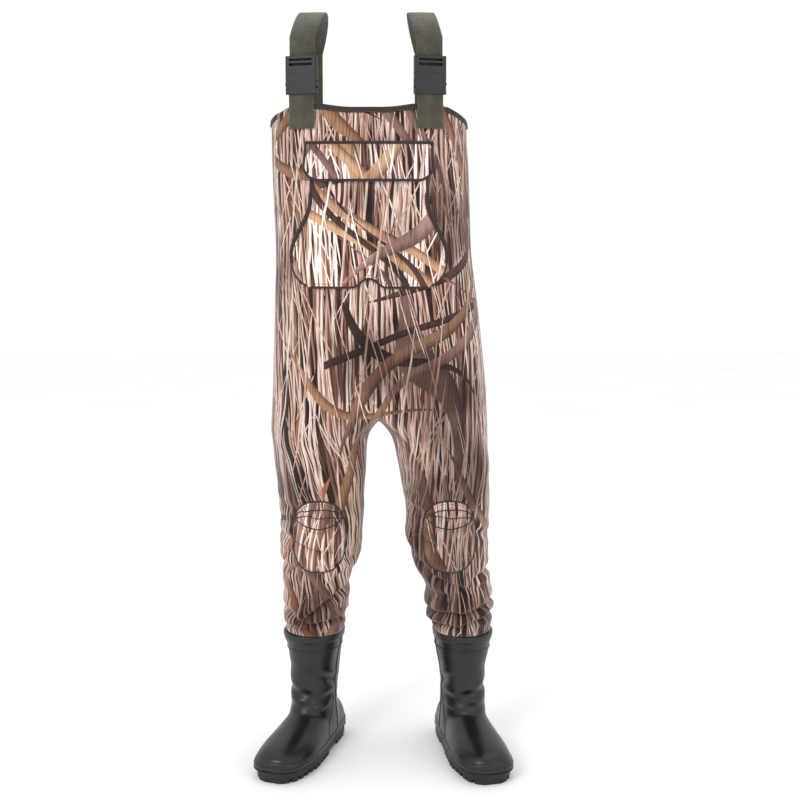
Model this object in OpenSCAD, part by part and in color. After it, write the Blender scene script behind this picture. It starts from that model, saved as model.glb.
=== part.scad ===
// Chest waders with rubber boots, standing as worn.
// X runs to the wearer's left, Y to the back, Z up. The floor is Z = 0.

/* [Bib and hips] */
// Height of the bib's top edge at the middle of the chest
bib_top_z = 1268; // [1150:1:1400]
// How far the top edge drops at the side seams
bib_side_drop = 28; // [10:1:80]
// Height of the crotch
crotch_z = 700; // [600:1:780]
// Width across the chest
chest_w = 376; // [300:1:460]
// Width across the hips
hip_w = 422; // [360:1:520]
// Depth of the chest, front to back
chest_d = 236; // [190:1:290]
// Depth of the hips, front to back
hip_d = 258; // [210:1:310]
// Thickness of the neoprene
wall = 5; // [3:0.5:8]
// Sideways lean of the chest from the hips
lean_x = -20; // [-40:1:40]
// Thickness of the binding on the top edge
binding_t = 2; // [1:0.5:4]

/* [Legs] */
// Height of the knee's bending axis
knee_z = 450; // [380:1:520]
// Distance of each thigh's centre from the middle
leg_spread = 122; // [110:1:160]
// Width of the thigh at its top
thigh_w = 192; // [160:1:230]
// Width of the knee
knee_w = 164; // [120:1:190]
// Width of the lower leg where it gathers
calf_w = 134; // [118:1:160]
// Half the height of the sleeve that bends
knee_gap = 50; // [42:1:60]
// Width of a knee patch
pad_w = 108; // [70:1:120]
// Height of a knee patch
pad_h = 150; // [90:1:170]
// Thickness of a knee patch
pad_t = 8; // [5:0.5:12]

/* [Boots] */
// Height of the boot's top edge
boot_top_z = 246; // [200:1:300]
// Width of the boot's shaft at the top
boot_top_w = 116; // [104:1:130]
// Length of the sole
sole_len = 300; // [260:1:340]
// Width of the sole at the ball of the foot
sole_w = 112; // [96:1:126]
// Thickness of the rubber
rubber_t = 4; // [2.5:0.5:6]
// Angle that the right toe points outwards
right_toe_out = 20; // [0:1:30]
// Angle that the left toe points outwards
left_toe_out = 14; // [0:1:30]
// Height of the sole plate above the floor
lug_h = 9; // [5:0.5:14]
// Thickness of the sole plate
plate_t = 11; // [6:0.5:16]

/* [Pocket] */
// Width of the flap
flap_w = 230; // [180:1:270]
// Height of the flap
flap_h = 67; // [50:1:100]
// How far below the bib's top edge the flap starts
flap_drop = 65; // [50:1:120]
// Width of the pouch at its top
pouch_top_w = 212; // [170:1:240]
// Width of the pouch at its widest
pouch_w = 284; // [220:1:300]
// Height of the pouch
pouch_h = 222; // [180:1:260]
// Room inside the pouch for the hands
pouch_room = 12; // [6:0.5:16]
// Thickness of the pouch and flap panels
panel_t = 3.5; // [2:0.5:5]
// Width of the piping
piping_w = 5; // [3:0.5:8]

/* [Straps] */
// Width of the webbing
strap_w = 50; // [38:1:60]
// Thickness of the webbing
strap_t = 2.5; // [1.5:0.5:4]
// Distance of each strap from the middle of the chest
strap_x = 117; // [90:1:135]
// How far the straps rise above the bib's top edge
shoulder_rise = 186; // [150:1:250]
// How far a buckle's plug pulls out
release_travel = 36; // [32:1:38]
// Gap between parts that move past each other
fit_gap = 0.3; // [0.2:0.05:0.6]

/* [Hidden] */

// Colours
camo = "#a58b73";
edge_dark = "#2e2a22";
olive = "#5a5c48";
black_plastic = "#16171a";
black_rubber = "#1b1d1f";

// Shared helpers. A station is [z, x, y, half width, half depth, corner power].
RIGHT = -1;
LEFT = 1;
ring_n = 28;
thin = 0.4;
// The shifts that put the middle of the whole outline on the origin
middle_x = 1.58;
middle_y = 7.95;
body_y = 15 + middle_y;
seam_y = body_y + 8;
hip_x = middle_x - 10;
side_tape_w = 14;
bib_side_z = bib_top_z - bib_side_drop;
flap_top_z = bib_top_z - flap_drop;
shoulder_z = bib_top_z + shoulder_rise;

function power_of(v, p) = sign(v) * pow(abs(v), p);
function ring(a, b, n) = [for (i = [0:ring_n - 1])
    let (t = i * 360 / ring_n) [a * power_of(cos(t), 2 / n), b * power_of(sin(t), 2 / n)]];
function mix(a, b, t) = a + (b - a) * t;
function span(list, z, i = 0) = i >= len(list) - 2 || z > list[i + 1][0] ? i : span(list, z, i + 1);
function at_height(list, z) = let (i = span(list, z), a = list[i], b = list[i + 1])
    mix(a, b, (z - a[0]) / (b[0] - a[0]));
function front_y(list, x, z, off) = let (s = at_height(list, z), r = abs(x - s[1]) / (s[3] + off))
    s[2] - (s[4] + off) * pow(max(0, 1 - pow(r, s[5])), 1 / s[5]);
function back_y(list, x, z, off) = 2 * at_height(list, z)[2] - front_y(list, x, z, off);

module section(s, off) {
    translate([s[1], s[2]])
        polygon(ring(s[3] + off, s[4] + off, s[5]));
}

module slice(s, off) {
    translate([0, 0, s[0] - thin / 2])
        linear_extrude(thin)
            section(s, off);
}

module loft(list, off) {
    for (i = [0:len(list) - 2])
        hull() {
            slice(list[i], off);
            slice(list[i + 1], off);
        }
}

module slab(z0, z1) {
    translate([-400, -400, z0])
        cube([800, 800, z1 - z0]);
}

module half_space(front, y) {
    translate([-400, front ? y - 800 : y, -10])
        cube([800, 800, 1700]);
}

// Body: the stations from above the shoulders' buckles down to the crotch
chest_x = hip_x + lean_x;
waist_z = mix(crotch_z + 165, bib_top_z - 100, 0.44);
body = [
    [bib_top_z + 60, chest_x - 2, body_y, chest_w / 2 - 4, chest_d / 2 - 4, 3.2],
    [bib_top_z - 100, chest_x + 4, body_y, chest_w / 2, chest_d / 2, 3.2],
    [waist_z, mix(hip_x, chest_x, 0.5), body_y, chest_w / 2 + 1, chest_d / 2, 3.0],
    [crotch_z + 165, mix(hip_x, chest_x, 0.2), body_y, hip_w / 2 - 11, hip_d / 2 - 5, 2.8],
    [crotch_z + 40, hip_x, body_y, hip_w / 2 - 2, hip_d / 2, 2.6],
    [crotch_z, hip_x, body_y, hip_w / 2, hip_d / 2, 2.6]];

// Legs: the stations from the crotch down to the boot, for each side
stance_x = 7;
knee_x = 125;
gather_x = 141;
ankle_x = 149;
knee_y = 22 + middle_y;
calf_y = 42 + middle_y;
function foot_x(side) = middle_x + stance_x + side * ankle_x;
thigh_mid_z = mix(crotch_z, knee_z, 0.42);
calf_z = mix(knee_z, boot_top_z, 0.42);
function leg(side) = [
    [crotch_z - 50, hip_x + side * (leg_spread - 5), body_y, thigh_w / 2, hip_d / 2 - 20, 2.2],
    [thigh_mid_z, middle_x - 4 + side * leg_spread, body_y + 2, thigh_w / 2 - 5, hip_d / 2 - 32, 2.2],
    [knee_z + knee_gap, middle_x + side * knee_x, knee_y, knee_w / 2 + 2, knee_w / 2 + 2, 2.1],
    [knee_z, middle_x + side * knee_x, knee_y, knee_w / 2, knee_w / 2, 2.1],
    [knee_z - knee_gap, middle_x + side * (knee_x + 5), knee_y + 4, knee_w / 2 - 4, knee_w / 2 + 1, 2.1],
    [calf_z, middle_x + stance_x / 2 + side * gather_x, calf_y, calf_w / 2, calf_w / 2 + 10, 2.1],
    [boot_top_z + 34, middle_x + stance_x + side * (gather_x + 4), calf_y + 4,
        calf_w / 2 - 3, calf_w / 2 + 6, 2.1],
    [boot_top_z, foot_x(side), calf_y + 6, boot_top_w / 2, boot_top_w / 2 + 9, 2.1]];

module half_body_section(side, inset) {
    offset(delta = -inset)
        intersection() {
            section(body[len(body) - 1], 0);
            translate([side > 0 ? hip_x : hip_x - 400, -400])
                square([400, 800]);
        }
}

module half_body_slice(side, inset, z) {
    translate([0, 0, z])
        linear_extrude(thin)
            half_body_section(side, inset);
}

module thigh_solid(side, inset) {
    top = inset > 0 ? crotch_z + 1 : crotch_z - thin;
    hull() {
        half_body_slice(side, inset, top);
        slice(leg(side)[0], -inset);
    }
    for (i = [0:1])
        hull() {
            slice(leg(side)[i], -inset);
            slice(leg(side)[i + 1], -inset);
        }
    if (inset > 0)
        hull() {
            slice(leg(side)[2], -inset);
            translate([0, 0, -2])
                slice(leg(side)[2], -inset);
        }
}

module leg_solid(side, off) {
    loft(leg(side), off);
}

// Top edge, drawn in X and Z
edge_side_x = hip_w / 2 + 60;
strap_rise = 9;
function mirrored(points, x) = concat(
    [for (i = [len(points) - 1:-1:1]) [x - points[i][0], points[i][1]]],
    [for (p = points) [x + p[0], p[1]]]);
front_edge = mirrored([
    [0, bib_top_z], [strap_x * 0.5, bib_top_z + 1], [strap_x * 0.8, bib_top_z + strap_rise],
    [strap_x * 1.1, bib_top_z + strap_rise - 1], [strap_x * 1.3, bib_top_z - 4],
    [chest_w / 2 - 4, bib_side_z + 6], [edge_side_x, bib_side_z]], chest_x);
back_edge = mirrored([
    [0, bib_top_z + 12], [strap_x, bib_top_z + 10], [strap_x * 1.25, bib_top_z - 2],
    [chest_w / 2 - 4, bib_side_z + 6], [edge_side_x, bib_side_z]], chest_x);

module below_edge(edge, drop) {
    translate([0, -drop])
        polygon(concat([[edge[0][0], crotch_z - 50]], edge, [[edge[len(edge) - 1][0], crotch_z - 50]]));
}

module through(front) {
    // Pushes an outline in X and Z through the half of the body in front of or behind the side seams.
    translate([0, front ? seam_y : seam_y + 300, 0])
        rotate([90, 0, 0])
            linear_extrude(300)
                children();
}

module bib_shell() {
    difference() {
        loft(body, 0);
        loft(body, -wall);
        slab(crotch_z - 1, crotch_z);
    }
}

module bib_panel(front, edge) {
    color(camo)
        intersection() {
            bib_shell();
            through(front)
                below_edge(edge, 0);
        }
}

module bib_front() {
    bib_panel(true, front_edge);
}

module bib_back() {
    bib_panel(false, back_edge);
}

binding_h = 11;
module edge_band(front, edge) {
    through(front)
        difference() {
            below_edge(edge, -binding_t);
            below_edge(edge, binding_h);
        }
}

module top_binding() {
    color(edge_dark)
        difference() {
            intersection() {
                union() {
                    edge_band(true, front_edge);
                    edge_band(false, back_edge);
                }
                loft(body, binding_t);
            }
            loft(body, -wall - binding_t);
            intersection() {
                bib_shell();
                union() {
                    through(true)
                        below_edge(front_edge, 0);
                    through(false)
                        below_edge(back_edge, 0);
                }
            }
        }
}

module side_seam_tape(side) {
    color(edge_dark)
        intersection() {
            difference() {
                loft(body, -wall);
                loft(body, -wall - 1);
            }
            translate([side > 0 ? 0 : -400, seam_y - side_tape_w / 2, crotch_z + 20])
                cube([400, side_tape_w, bib_side_z - binding_h - crotch_z - 24]);
        }
}

module thigh(side, front) {
    color(camo)
        intersection() {
            difference() {
                thigh_solid(side, 0);
                thigh_solid(side, wall);
            }
            half_space(front, seam_y);
        }
}

module knee_sleeve(side) {
    color(camo)
        difference() {
            intersection() {
                leg_solid(side, 0);
                slab(knee_z - knee_gap + 1, knee_z + knee_gap - 1);
            }
            leg_solid(side, -wall);
        }
}

module shin(side) {
    color(camo)
        difference() {
            intersection() {
                leg_solid(side, 0);
                slab(boot_top_z, knee_z - knee_gap);
            }
            leg_solid(side, -wall);
            translate([0, 0, -2])
                leg_solid(side, -wall);
        }
}

pad_rise = 7;
module pad_outline(side, inset) {
    translate([middle_x + side * (knee_x + 1), knee_z + pad_rise])
        offset(delta = -inset)
            intersection() {
                scale([pad_w / 2, pad_h / 2])
                    circle(r = 1, $fn = 48);
                square([pad_w * 0.94, pad_h * 0.96], center = true);
            }
}

module on_front_of_leg(side, off0, off1) {
    intersection() {
        difference() {
            leg_solid(side, off1);
            leg_solid(side, off0);
        }
        translate([0, knee_y - 20, 0])
            rotate([90, 0, 0])
                linear_extrude(200)
                    children();
    }
}

pad_skin = 1.5;
module knee_foam(side) {
    color("#d8d2c4")
        on_front_of_leg(side, fit_gap, pad_t - pad_skin)
            pad_outline(side, pad_skin * 4);
}

module knee_pad(side) {
    color(camo)
        difference() {
            on_front_of_leg(side, fit_gap, pad_t)
                pad_outline(side, 0);
            on_front_of_leg(side, 0, pad_t - pad_skin)
                pad_outline(side, pad_skin * 4);
        }
}

// Pocket: layers counted outwards from the bib's face
pocket_x = chest_x + 3;
lining_t = 1;
pouch_in = pouch_room + lining_t;
pouch_out = pouch_in + panel_t;
loop_out = pouch_out + 1;
hook_in = loop_out + fit_gap;
flap_in = hook_in + 1;
flap_out = flap_in + panel_t;
pouch_top_z = flap_top_z - flap_h * 0.62;
pouch_bottom_z = pouch_top_z - pouch_h;
slant_top_z = pouch_top_z - pouch_h * 0.28;
slant_low_z = pouch_top_z - pouch_h * 0.75;
hump_w = 52;
hump_h = 15;

module on_front(off0, off1) {
    intersection() {
        difference() {
            loft(body, off1);
            loft(body, off0);
        }
        through(true)
            children();
    }
}

module pouch_outline(grow) {
    offset(delta = grow)
        translate([pocket_x, 0])
            difference() {
                polygon([
                    [-pouch_top_w / 2, pouch_top_z], [pouch_top_w / 2, pouch_top_z],
                    [pouch_top_w / 2, slant_top_z], [pouch_w / 2, slant_low_z],
                    [pouch_w / 2 - 8, pouch_bottom_z + 12], [pouch_w / 2 - 24, pouch_bottom_z],
                    [-pouch_w / 2 + 24, pouch_bottom_z], [-pouch_w / 2 + 8, pouch_bottom_z + 12],
                    [-pouch_w / 2, slant_low_z], [-pouch_top_w / 2, slant_top_z]]);
                translate([0, pouch_bottom_z - 1])
                    scale([hump_w / 2, hump_h])
                        circle(r = 1, $fn = 32);
            }
}

rim = 4;
module hand_openings() {
    for (side = [RIGHT, LEFT])
        translate([pocket_x, 0])
            polygon([
                [side * (pouch_top_w / 2 - rim * 2), slant_top_z - 4],
                [side * (pouch_top_w / 2 + 40), slant_top_z - 4],
                [side * (pouch_w / 2 + 40), slant_low_z + 4],
                [side * (pouch_w / 2 - rim * 2), slant_low_z + 4]]);
}

module pocket_lining() {
    color(camo)
        on_front(0, lining_t)
            pouch_outline(-1);
}

module pocket_pouch() {
    color(camo)
        difference() {
            on_front(lining_t, pouch_out)
                pouch_outline(0);
            on_front(lining_t - 2, pouch_in) {
                pouch_outline(-rim);
                hand_openings();
                translate([pocket_x - pouch_top_w / 2 + rim, slant_top_z])
                    square([pouch_top_w - 2 * rim, pouch_h]);
            }
        }
}

module pocket_binding() {
    color(edge_dark)
        on_front(pouch_in - 1, pouch_out + 1)
            difference() {
                intersection() {
                    pouch_outline(piping_w);
                    translate([-400, 0])
                        square([800, slant_top_z]);
                }
                pouch_outline(0);
            }
}

strip_w = 120;
strip_h = 16;
module strip_outline(z) {
    translate([pocket_x - strip_w / 2, z])
        square([strip_w, strip_h]);
}

strip_z = pouch_top_z - strip_h - 4;
module pocket_loop_strip() {
    color(edge_dark)
        on_front(pouch_out, loop_out)
            strip_outline(strip_z);
}

module flap_hook_strip() {
    color(edge_dark)
        on_front(hook_in, flap_in)
            strip_outline(strip_z);
}

flap_r = 26;
module flap_outline(inset) {
    translate([pocket_x, flap_top_z - flap_h])
        intersection() {
            translate([-flap_w / 2 + inset, inset])
                square([flap_w - 2 * inset, flap_h - 2 * inset]);
            hull()
                for (side = [RIGHT, LEFT])
                    translate([side * (flap_w / 2 - flap_r), flap_r]) {
                        circle(r = flap_r - inset, $fn = 40);
                        translate([side * (flap_r - inset) - 0.5, flap_h])
                            square(1);
                    }
        }
}

module pocket_flap() {
    color(camo)
        on_front(flap_in, flap_out)
            flap_outline(piping_w);
}

module flap_piping() {
    color(edge_dark)
        on_front(flap_in - 0.5, flap_out + 0.5)
            difference() {
                flap_outline(0);
                flap_outline(piping_w);
            }
}

// The flap turns about a line along its top edge, just behind its hook strip
header_h = 6;
header_back = 4;
flap_axis_off = hook_in - 1.5;
flap_swing = flap_out + 0.5 - flap_axis_off + 2 * fit_gap;
module flap_header() {
    color(edge_dark)
        on_front(0, flap_axis_off - header_back)
            translate([pocket_x - flap_w / 2, flap_top_z + flap_swing])
                square([flap_w, header_h]);
}

// Straps and buckles
tab_in = binding_t;
tab_h = 62;
buckle_w = strap_w + 10;
buckle_t = 13;
socket_h = 38;
plug_h = 30;
buckle_z = bib_top_z + 24;
plug_z = buckle_z + socket_h + fit_gap;
strap_end_z = plug_z + 3;
straight_z = plug_z + plug_h + release_travel;
strap_shift = -2;
function strap_at(side) = chest_x + strap_shift + side * strap_x;
function buckle_y(side) = front_y(body, strap_at(side), buckle_z, tab_in + strap_t / 2);
function strap_yaw(side) = atan((front_y(body, strap_at(side) + strap_w / 3, buckle_z, tab_in)
    - front_y(body, strap_at(side) - strap_w / 3, buckle_z, tab_in)) / (strap_w * 2 / 3));
strap_back = 3.5;

module at_buckle(side) {
    translate([strap_at(side), buckle_y(side), 0])
        rotate([0, 0, strap_yaw(side)])
            children();
}

module strap_tab(side) {
    color(olive)
        on_front(tab_in, tab_in + strap_t)
            translate([strap_at(side) - strap_w / 2, buckle_z - tab_h])
                square([strap_w, tab_h]);
}

patch_h = 80;
module back_patch(side) {
    color(olive)
        intersection() {
            difference() {
                loft(body, binding_t + strap_t);
                loft(body, binding_t);
            }
            through(false)
                translate([strap_at(side) - strap_w / 2 - 8, bib_top_z - patch_h])
                    square([strap_w + 16, patch_h]);
        }
}

// The strap's middle line: straight up the front, an arch over the shoulder, down to the back patch
arch_n = 9;
shoulder_in = 16;
function strap_front_x(side) = strap_at(side) - sin(strap_yaw(side)) * strap_back;
function strap_front(side) = buckle_y(side) + cos(strap_yaw(side)) * strap_back;
function strap_rear(side) = back_y(body, strap_at(side), bib_top_z, binding_t + strap_t * 1.5) + fit_gap;
function strap_path(side) = let (
        y0 = strap_front(side), y1 = strap_rear(side), x0 = strap_front_x(side), mid = (y0 + y1) / 2)
    concat(
        [[x0, y0, strap_end_z, 0, strap_yaw(side)]],
        [for (i = [0:arch_n])
            let (a = 180 - i * 180 / arch_n, lift = sin(a))
            [x0 - side * shoulder_in * lift, mid + cos(a) * (y1 - y0) / 2,
                straight_z + (shoulder_z - straight_z) * lift, 180 - a,
                strap_yaw(side) * (1 - 2 * i / arch_n)]],
        [[x0, y1, bib_top_z - patch_h + 6, 180, -strap_yaw(side)]]);

module strap_piece(p) {
    translate([p[0], p[1], p[2]])
        rotate([0, 0, p[4]])
            rotate([-p[3], 0, 0])
                cube([strap_w, strap_t, thin], center = true);
}

module strap(side) {
    path = strap_path(side);
    color(olive)
        for (i = [0:len(path) - 2])
            hull() {
                strap_piece(path[i]);
                strap_piece(path[i + 1]);
            }
}

module rounded_block(w, t, h, r) {
    linear_extrude(h)
        hull()
            for (sx = [-1, 1], sy = [-1, 1])
                translate([sx * (w / 2 - r), sy * (t / 2 - r)])
                    circle(r = r, $fn = 24);
}

cavity_t = 7;
cavity_y = -2;
window_z = 10;
window_h = 15;
prong_w = 5;
prong_t = 5;
prong_x = strap_w / 2 - 6;
module buckle_socket(side) {
    color(black_plastic)
        at_buckle(side)
            translate([0, 0, buckle_z])
                difference() {
                    rounded_block(buckle_w, buckle_t, socket_h, 3);
                    translate([-strap_w / 2 - 1, cavity_y - cavity_t / 2, 6])
                        cube([strap_w + 2, cavity_t, socket_h]);
                    translate([-buckle_w / 2 - 1, cavity_y - cavity_t / 2, window_z])
                        cube([buckle_w + 2, cavity_t, window_h]);
                }
}

module buckle_plug(side) {
    slot_t = strap_t + 2 * fit_gap;
    color(black_plastic)
        at_buckle(side)
            union() {
                translate([0, 0, plug_z])
                    difference() {
                        rounded_block(buckle_w, buckle_t, plug_h, 3);
                        translate([-strap_w / 2 - fit_gap, strap_back - slot_t / 2, -1])
                            cube([strap_w + 2 * fit_gap, slot_t, plug_h + 2]);
                        translate([-strap_w / 2 + 3, -buckle_t, 12])
                            cube([strap_w - 6, buckle_t + strap_back, 5]);
                        translate([-strap_w / 2 + 3, -buckle_t, 21])
                            cube([strap_w - 6, buckle_t + strap_back, 4]);
                    }
                translate([-7, cavity_y - prong_t / 2, plug_z - 26])
                    cube([14, prong_t, 27]);
            }
}

// One sprung prong: a straight arm with a thumb pad that stands out through the socket's window
module prong(side, hand) {
    color(black_plastic)
        at_buckle(side)
            translate([0, cavity_y + prong_t / 2, plug_z - fit_gap])
                rotate([90, 0, 0])
                    linear_extrude(prong_t)
                        polygon([
                            [hand * (prong_x - prong_w), 0], [hand * prong_x, 0],
                            [hand * prong_x, -14], [hand * (buckle_w / 2 - 0.5), -15.5],
                            [hand * (buckle_w / 2 + 1), -20], [hand * (buckle_w / 2 - 1), -25.5],
                            [hand * (prong_x - prong_w + 2), -29], [hand * (prong_x - prong_w), -26]]);
}

// Boots. The boot's own frame has the ankle at its origin and the toe towards -Y.
heel_back = sole_len * 0.29;
toe_front = sole_len - heel_back;
sole_top = lug_h + plate_t;
function toe_out(side) = side > 0 ? left_toe_out : right_toe_out;
module at_boot(side) {
    translate([foot_x(side), calf_y + 10, 0])
        rotate([0, 0, side * toe_out(side)])
            children();
}

shaft_list = [
    [boot_top_z, 0, -4, boot_top_w / 2, boot_top_w / 2 + 9, 2.1],
    [boot_top_z * 0.8, 0, 0, boot_top_w / 2 - 8, boot_top_w / 2 + 5, 2.1],
    [boot_top_z * 0.6, 0, -2, boot_top_w / 2 - 15, boot_top_w / 2 + 1, 2.1],
    [boot_top_z * 0.45, 0, -6, boot_top_w / 2 - 17, boot_top_w / 2 + 2, 2.1],
    [boot_top_z * 0.3, 0, -8, boot_top_w / 2 - 16, boot_top_w / 2 + 12, 2.2],
    [sole_top, 0, -8, boot_top_w / 2 - 16, boot_top_w / 2 + 14, 2.3]];

// Foot: [distance along the foot, half width, height], from the heel to the toe
foot_list = [
    [heel_back - 4, 26, 50], [heel_back - 16, 36, 74], [20, 42, 96], [-40, sole_w / 2 - 10, 94],
    [-90, sole_w / 2 - 4, 76], [-140, sole_w / 2 - 2, 62], [8 - toe_front + 22, sole_w / 2 - 12, 52],
    [4 - toe_front, 26, 38]];

module loaf(s, off) {
    translate([0, s[0] + (s[0] > 0 ? off : -off), 0])
        rotate([90, 0, 0])
            linear_extrude(thin)
                intersection() {
                    translate([0, sole_top])
                        polygon(ring(s[1] + off, s[2] - sole_top + off, 2.6));
                    translate([-100, sole_top])
                        square([200, 200]);
                }
}

module foot_solid(off) {
    for (i = [0:len(foot_list) - 2])
        hull() {
            loaf(foot_list[i], off);
            loaf(foot_list[i + 1], off);
        }
}

module boot_solid(off) {
    loft(shaft_list, off);
    foot_solid(off);
}

module boot_upper(side) {
    color(black_rubber)
        at_boot(side)
            difference() {
                boot_solid(0);
                boot_solid(-rubber_t);
                translate([0, 0, 2])
                    loft([shaft_list[0], shaft_list[1]], -rubber_t);
                slab(-1, sole_top);
                slab(boot_top_z, boot_top_z + 5);
            }
}

cuff_h = 16;
cuff_t = 2;
module boot_cuff(side) {
    color(black_rubber)
        at_boot(side)
            intersection() {
                difference() {
                    loft(shaft_list, cuff_t);
                    loft(shaft_list, 0);
                }
                slab(boot_top_z - cuff_h, boot_top_z - 1);
            }
}

band_h = 20;
toe_cap_len = 52;
module foot_skin(y0, y1, z1) {
    intersection() {
        difference() {
            boot_solid(2);
            boot_solid(0);
            slab(-1, sole_top);
        }
        translate([-100, y0, sole_top])
            cube([200, y1 - y0, z1 - sole_top]);
    }
}

module toe_cap(side) {
    color(black_rubber)
        at_boot(side)
            foot_skin(-toe_front - 10, -toe_front + toe_cap_len, sole_top + band_h);
}

module heel_counter(side) {
    color(black_rubber)
        at_boot(side)
            foot_skin(heel_back - 34, heel_back + 40, sole_top + 42);
}

module sole_outline(inset) {
    hull() {
        translate([0, heel_back - sole_w * 0.36])
            circle(r = sole_w * 0.36 - inset, $fn = 48);
        translate([0, -toe_front * 0.52])
            circle(r = sole_w / 2 - inset, $fn = 48);
        translate([0, -toe_front + sole_w * 0.42])
            circle(r = sole_w * 0.42 - inset, $fn = 48);
    }
}

heel_len = 78;
lug_pitch = 17;
lug_len = 11;
module tread(y0, y1) {
    for (y = [y0:lug_pitch:y1])
        translate([-100, y, 0])
            cube([200, lug_len, lug_h + 0.5]);
}

module outsole(side) {
    color(black_rubber)
        at_boot(side)
            union() {
                translate([0, 0, lug_h])
                    linear_extrude(plate_t)
                        sole_outline(0);
                intersection() {
                    linear_extrude(lug_h + 1)
                        sole_outline(1.5);
                    tread(-toe_front + 4, -toe_front * 0.2);
                }
            }
}

module heel_block(side) {
    color(black_rubber)
        at_boot(side)
            difference() {
                linear_extrude(lug_h)
                    sole_outline(1.5);
                translate([-100, heel_back - heel_len - 400, -1])
                    cube([200, 400, lug_h + 2]);
                for (i = [1:3])
                    translate([-100, heel_back - heel_len + i * lug_pitch, -1])
                        cube([200, 5, 5]);
            }
}

insole_t = 4;
module insole(side) {
    color("#6f6a60")
        at_boot(side)
            translate([0, 0, sole_top])
                linear_extrude(insole_t)
                    sole_outline(rubber_t + 14);
}

bib_front();
bib_back();
top_binding();
side_seam_tape(RIGHT);  // right_side_seam_tape
side_seam_tape(LEFT);  // left_side_seam_tape
thigh(RIGHT, true);  // right_thigh_front
thigh(RIGHT, false);  // right_thigh_back
thigh(LEFT, true);  // left_thigh_front
thigh(LEFT, false);  // left_thigh_back
knee_sleeve(RIGHT);  // right_knee_sleeve
knee_sleeve(LEFT);  // left_knee_sleeve
knee_foam(RIGHT);  // right_knee_foam
knee_foam(LEFT);  // left_knee_foam
knee_pad(RIGHT);  // right_knee_pad
knee_pad(LEFT);  // left_knee_pad
shin(RIGHT);  // right_shin
shin(LEFT);  // left_shin
pocket_lining();
pocket_pouch();
pocket_binding();
pocket_loop_strip();
flap_header();
pocket_flap();
flap_piping();
flap_hook_strip();
strap(RIGHT);  // right_strap
strap(LEFT);  // left_strap
strap_tab(RIGHT);  // right_strap_tab
strap_tab(LEFT);  // left_strap_tab
back_patch(RIGHT);  // right_back_patch
back_patch(LEFT);  // left_back_patch
buckle_socket(RIGHT);  // right_buckle_socket
buckle_socket(LEFT);  // left_buckle_socket
buckle_plug(RIGHT);  // right_buckle_plug
buckle_plug(LEFT);  // left_buckle_plug
prong(RIGHT, RIGHT);  // right_prong_outer
prong(RIGHT, LEFT);  // right_prong_inner
prong(LEFT, LEFT);  // left_prong_outer
prong(LEFT, RIGHT);  // left_prong_inner
boot_upper(RIGHT);  // right_boot_upper
boot_upper(LEFT);  // left_boot_upper
boot_cuff(RIGHT);  // right_boot_cuff
boot_cuff(LEFT);  // left_boot_cuff
toe_cap(RIGHT);  // right_toe_cap
toe_cap(LEFT);  // left_toe_cap
heel_counter(RIGHT);  // right_heel_counter
heel_counter(LEFT);  // left_heel_counter
outsole(RIGHT);  // right_outsole
outsole(LEFT);  // left_outsole
heel_block(RIGHT);  // right_heel_block
heel_block(LEFT);  // left_heel_block
insole(RIGHT);  // right_insole
insole(LEFT);  // left_insole
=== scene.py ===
"""Chest waders with rubber boots, standing as worn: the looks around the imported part."""

import math

import bmesh
import bpy
import numpy as np
from mathutils import Matrix, Vector
from mathutils.bvhtree import BVHTree


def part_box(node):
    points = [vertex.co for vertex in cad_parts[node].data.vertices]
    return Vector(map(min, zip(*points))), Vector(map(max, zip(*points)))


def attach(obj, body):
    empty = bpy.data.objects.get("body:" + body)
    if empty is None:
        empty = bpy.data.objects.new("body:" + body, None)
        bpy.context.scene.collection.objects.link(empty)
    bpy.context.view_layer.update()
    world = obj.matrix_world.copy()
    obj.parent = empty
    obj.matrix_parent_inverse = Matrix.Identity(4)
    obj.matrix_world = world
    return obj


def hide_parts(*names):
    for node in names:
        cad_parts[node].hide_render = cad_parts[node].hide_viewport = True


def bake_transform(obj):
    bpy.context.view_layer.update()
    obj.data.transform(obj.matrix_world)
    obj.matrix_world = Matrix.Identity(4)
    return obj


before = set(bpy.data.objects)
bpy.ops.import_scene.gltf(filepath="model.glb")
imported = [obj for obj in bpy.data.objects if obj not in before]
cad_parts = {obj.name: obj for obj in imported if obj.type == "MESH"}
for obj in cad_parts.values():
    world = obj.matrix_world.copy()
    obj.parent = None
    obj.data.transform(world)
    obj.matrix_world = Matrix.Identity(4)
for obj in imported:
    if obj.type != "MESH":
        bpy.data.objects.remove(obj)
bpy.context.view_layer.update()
MM = 0.001
ROOT = "bib"
SIDES = {"right": -1, "left": 1}


# ---------------------------------------------------------------- materials

def tone(code):
    """An sRGB hex colour as the linear colour that a shader takes."""
    parts = [int(code[i:i + 2], 16) / 255 for i in (1, 3, 5)]
    return [c / 12.92 if c <= 0.04045 else ((c + 0.055) / 1.055) ** 2.4 for c in parts] + [1.0]


def add(tree, kind, settings=None, **inputs):
    """Adds one node. Settings are its own properties; inputs are values, or sockets to link from."""
    made = tree.nodes.new("ShaderNode" + kind)
    for key, value in (settings or {}).items():
        setattr(made, key, value)
    for key, value in inputs.items():
        name = int(key[1:]) if key[0] == "i" and key[1:].isdigit() else key.replace("_", " ")
        socket = made.inputs[name]
        if isinstance(value, bpy.types.NodeSocket):
            tree.links.new(value, socket)
        else:
            socket.default_value = value
    return made


def start_material(name):
    mat = bpy.data.materials.new(name)
    mat.use_nodes = True
    mat.node_tree.nodes.clear()
    return mat, mat.node_tree


def finish_material(tree, shader):
    add(tree, "OutputMaterial", Surface=shader.outputs[0])


def math_op(tree, op, a, b=0.0, clamp=False):
    return add(tree, "Math", {"operation": op, "use_clamp": clamp}, i0=a, i1=b).outputs[0]


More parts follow.
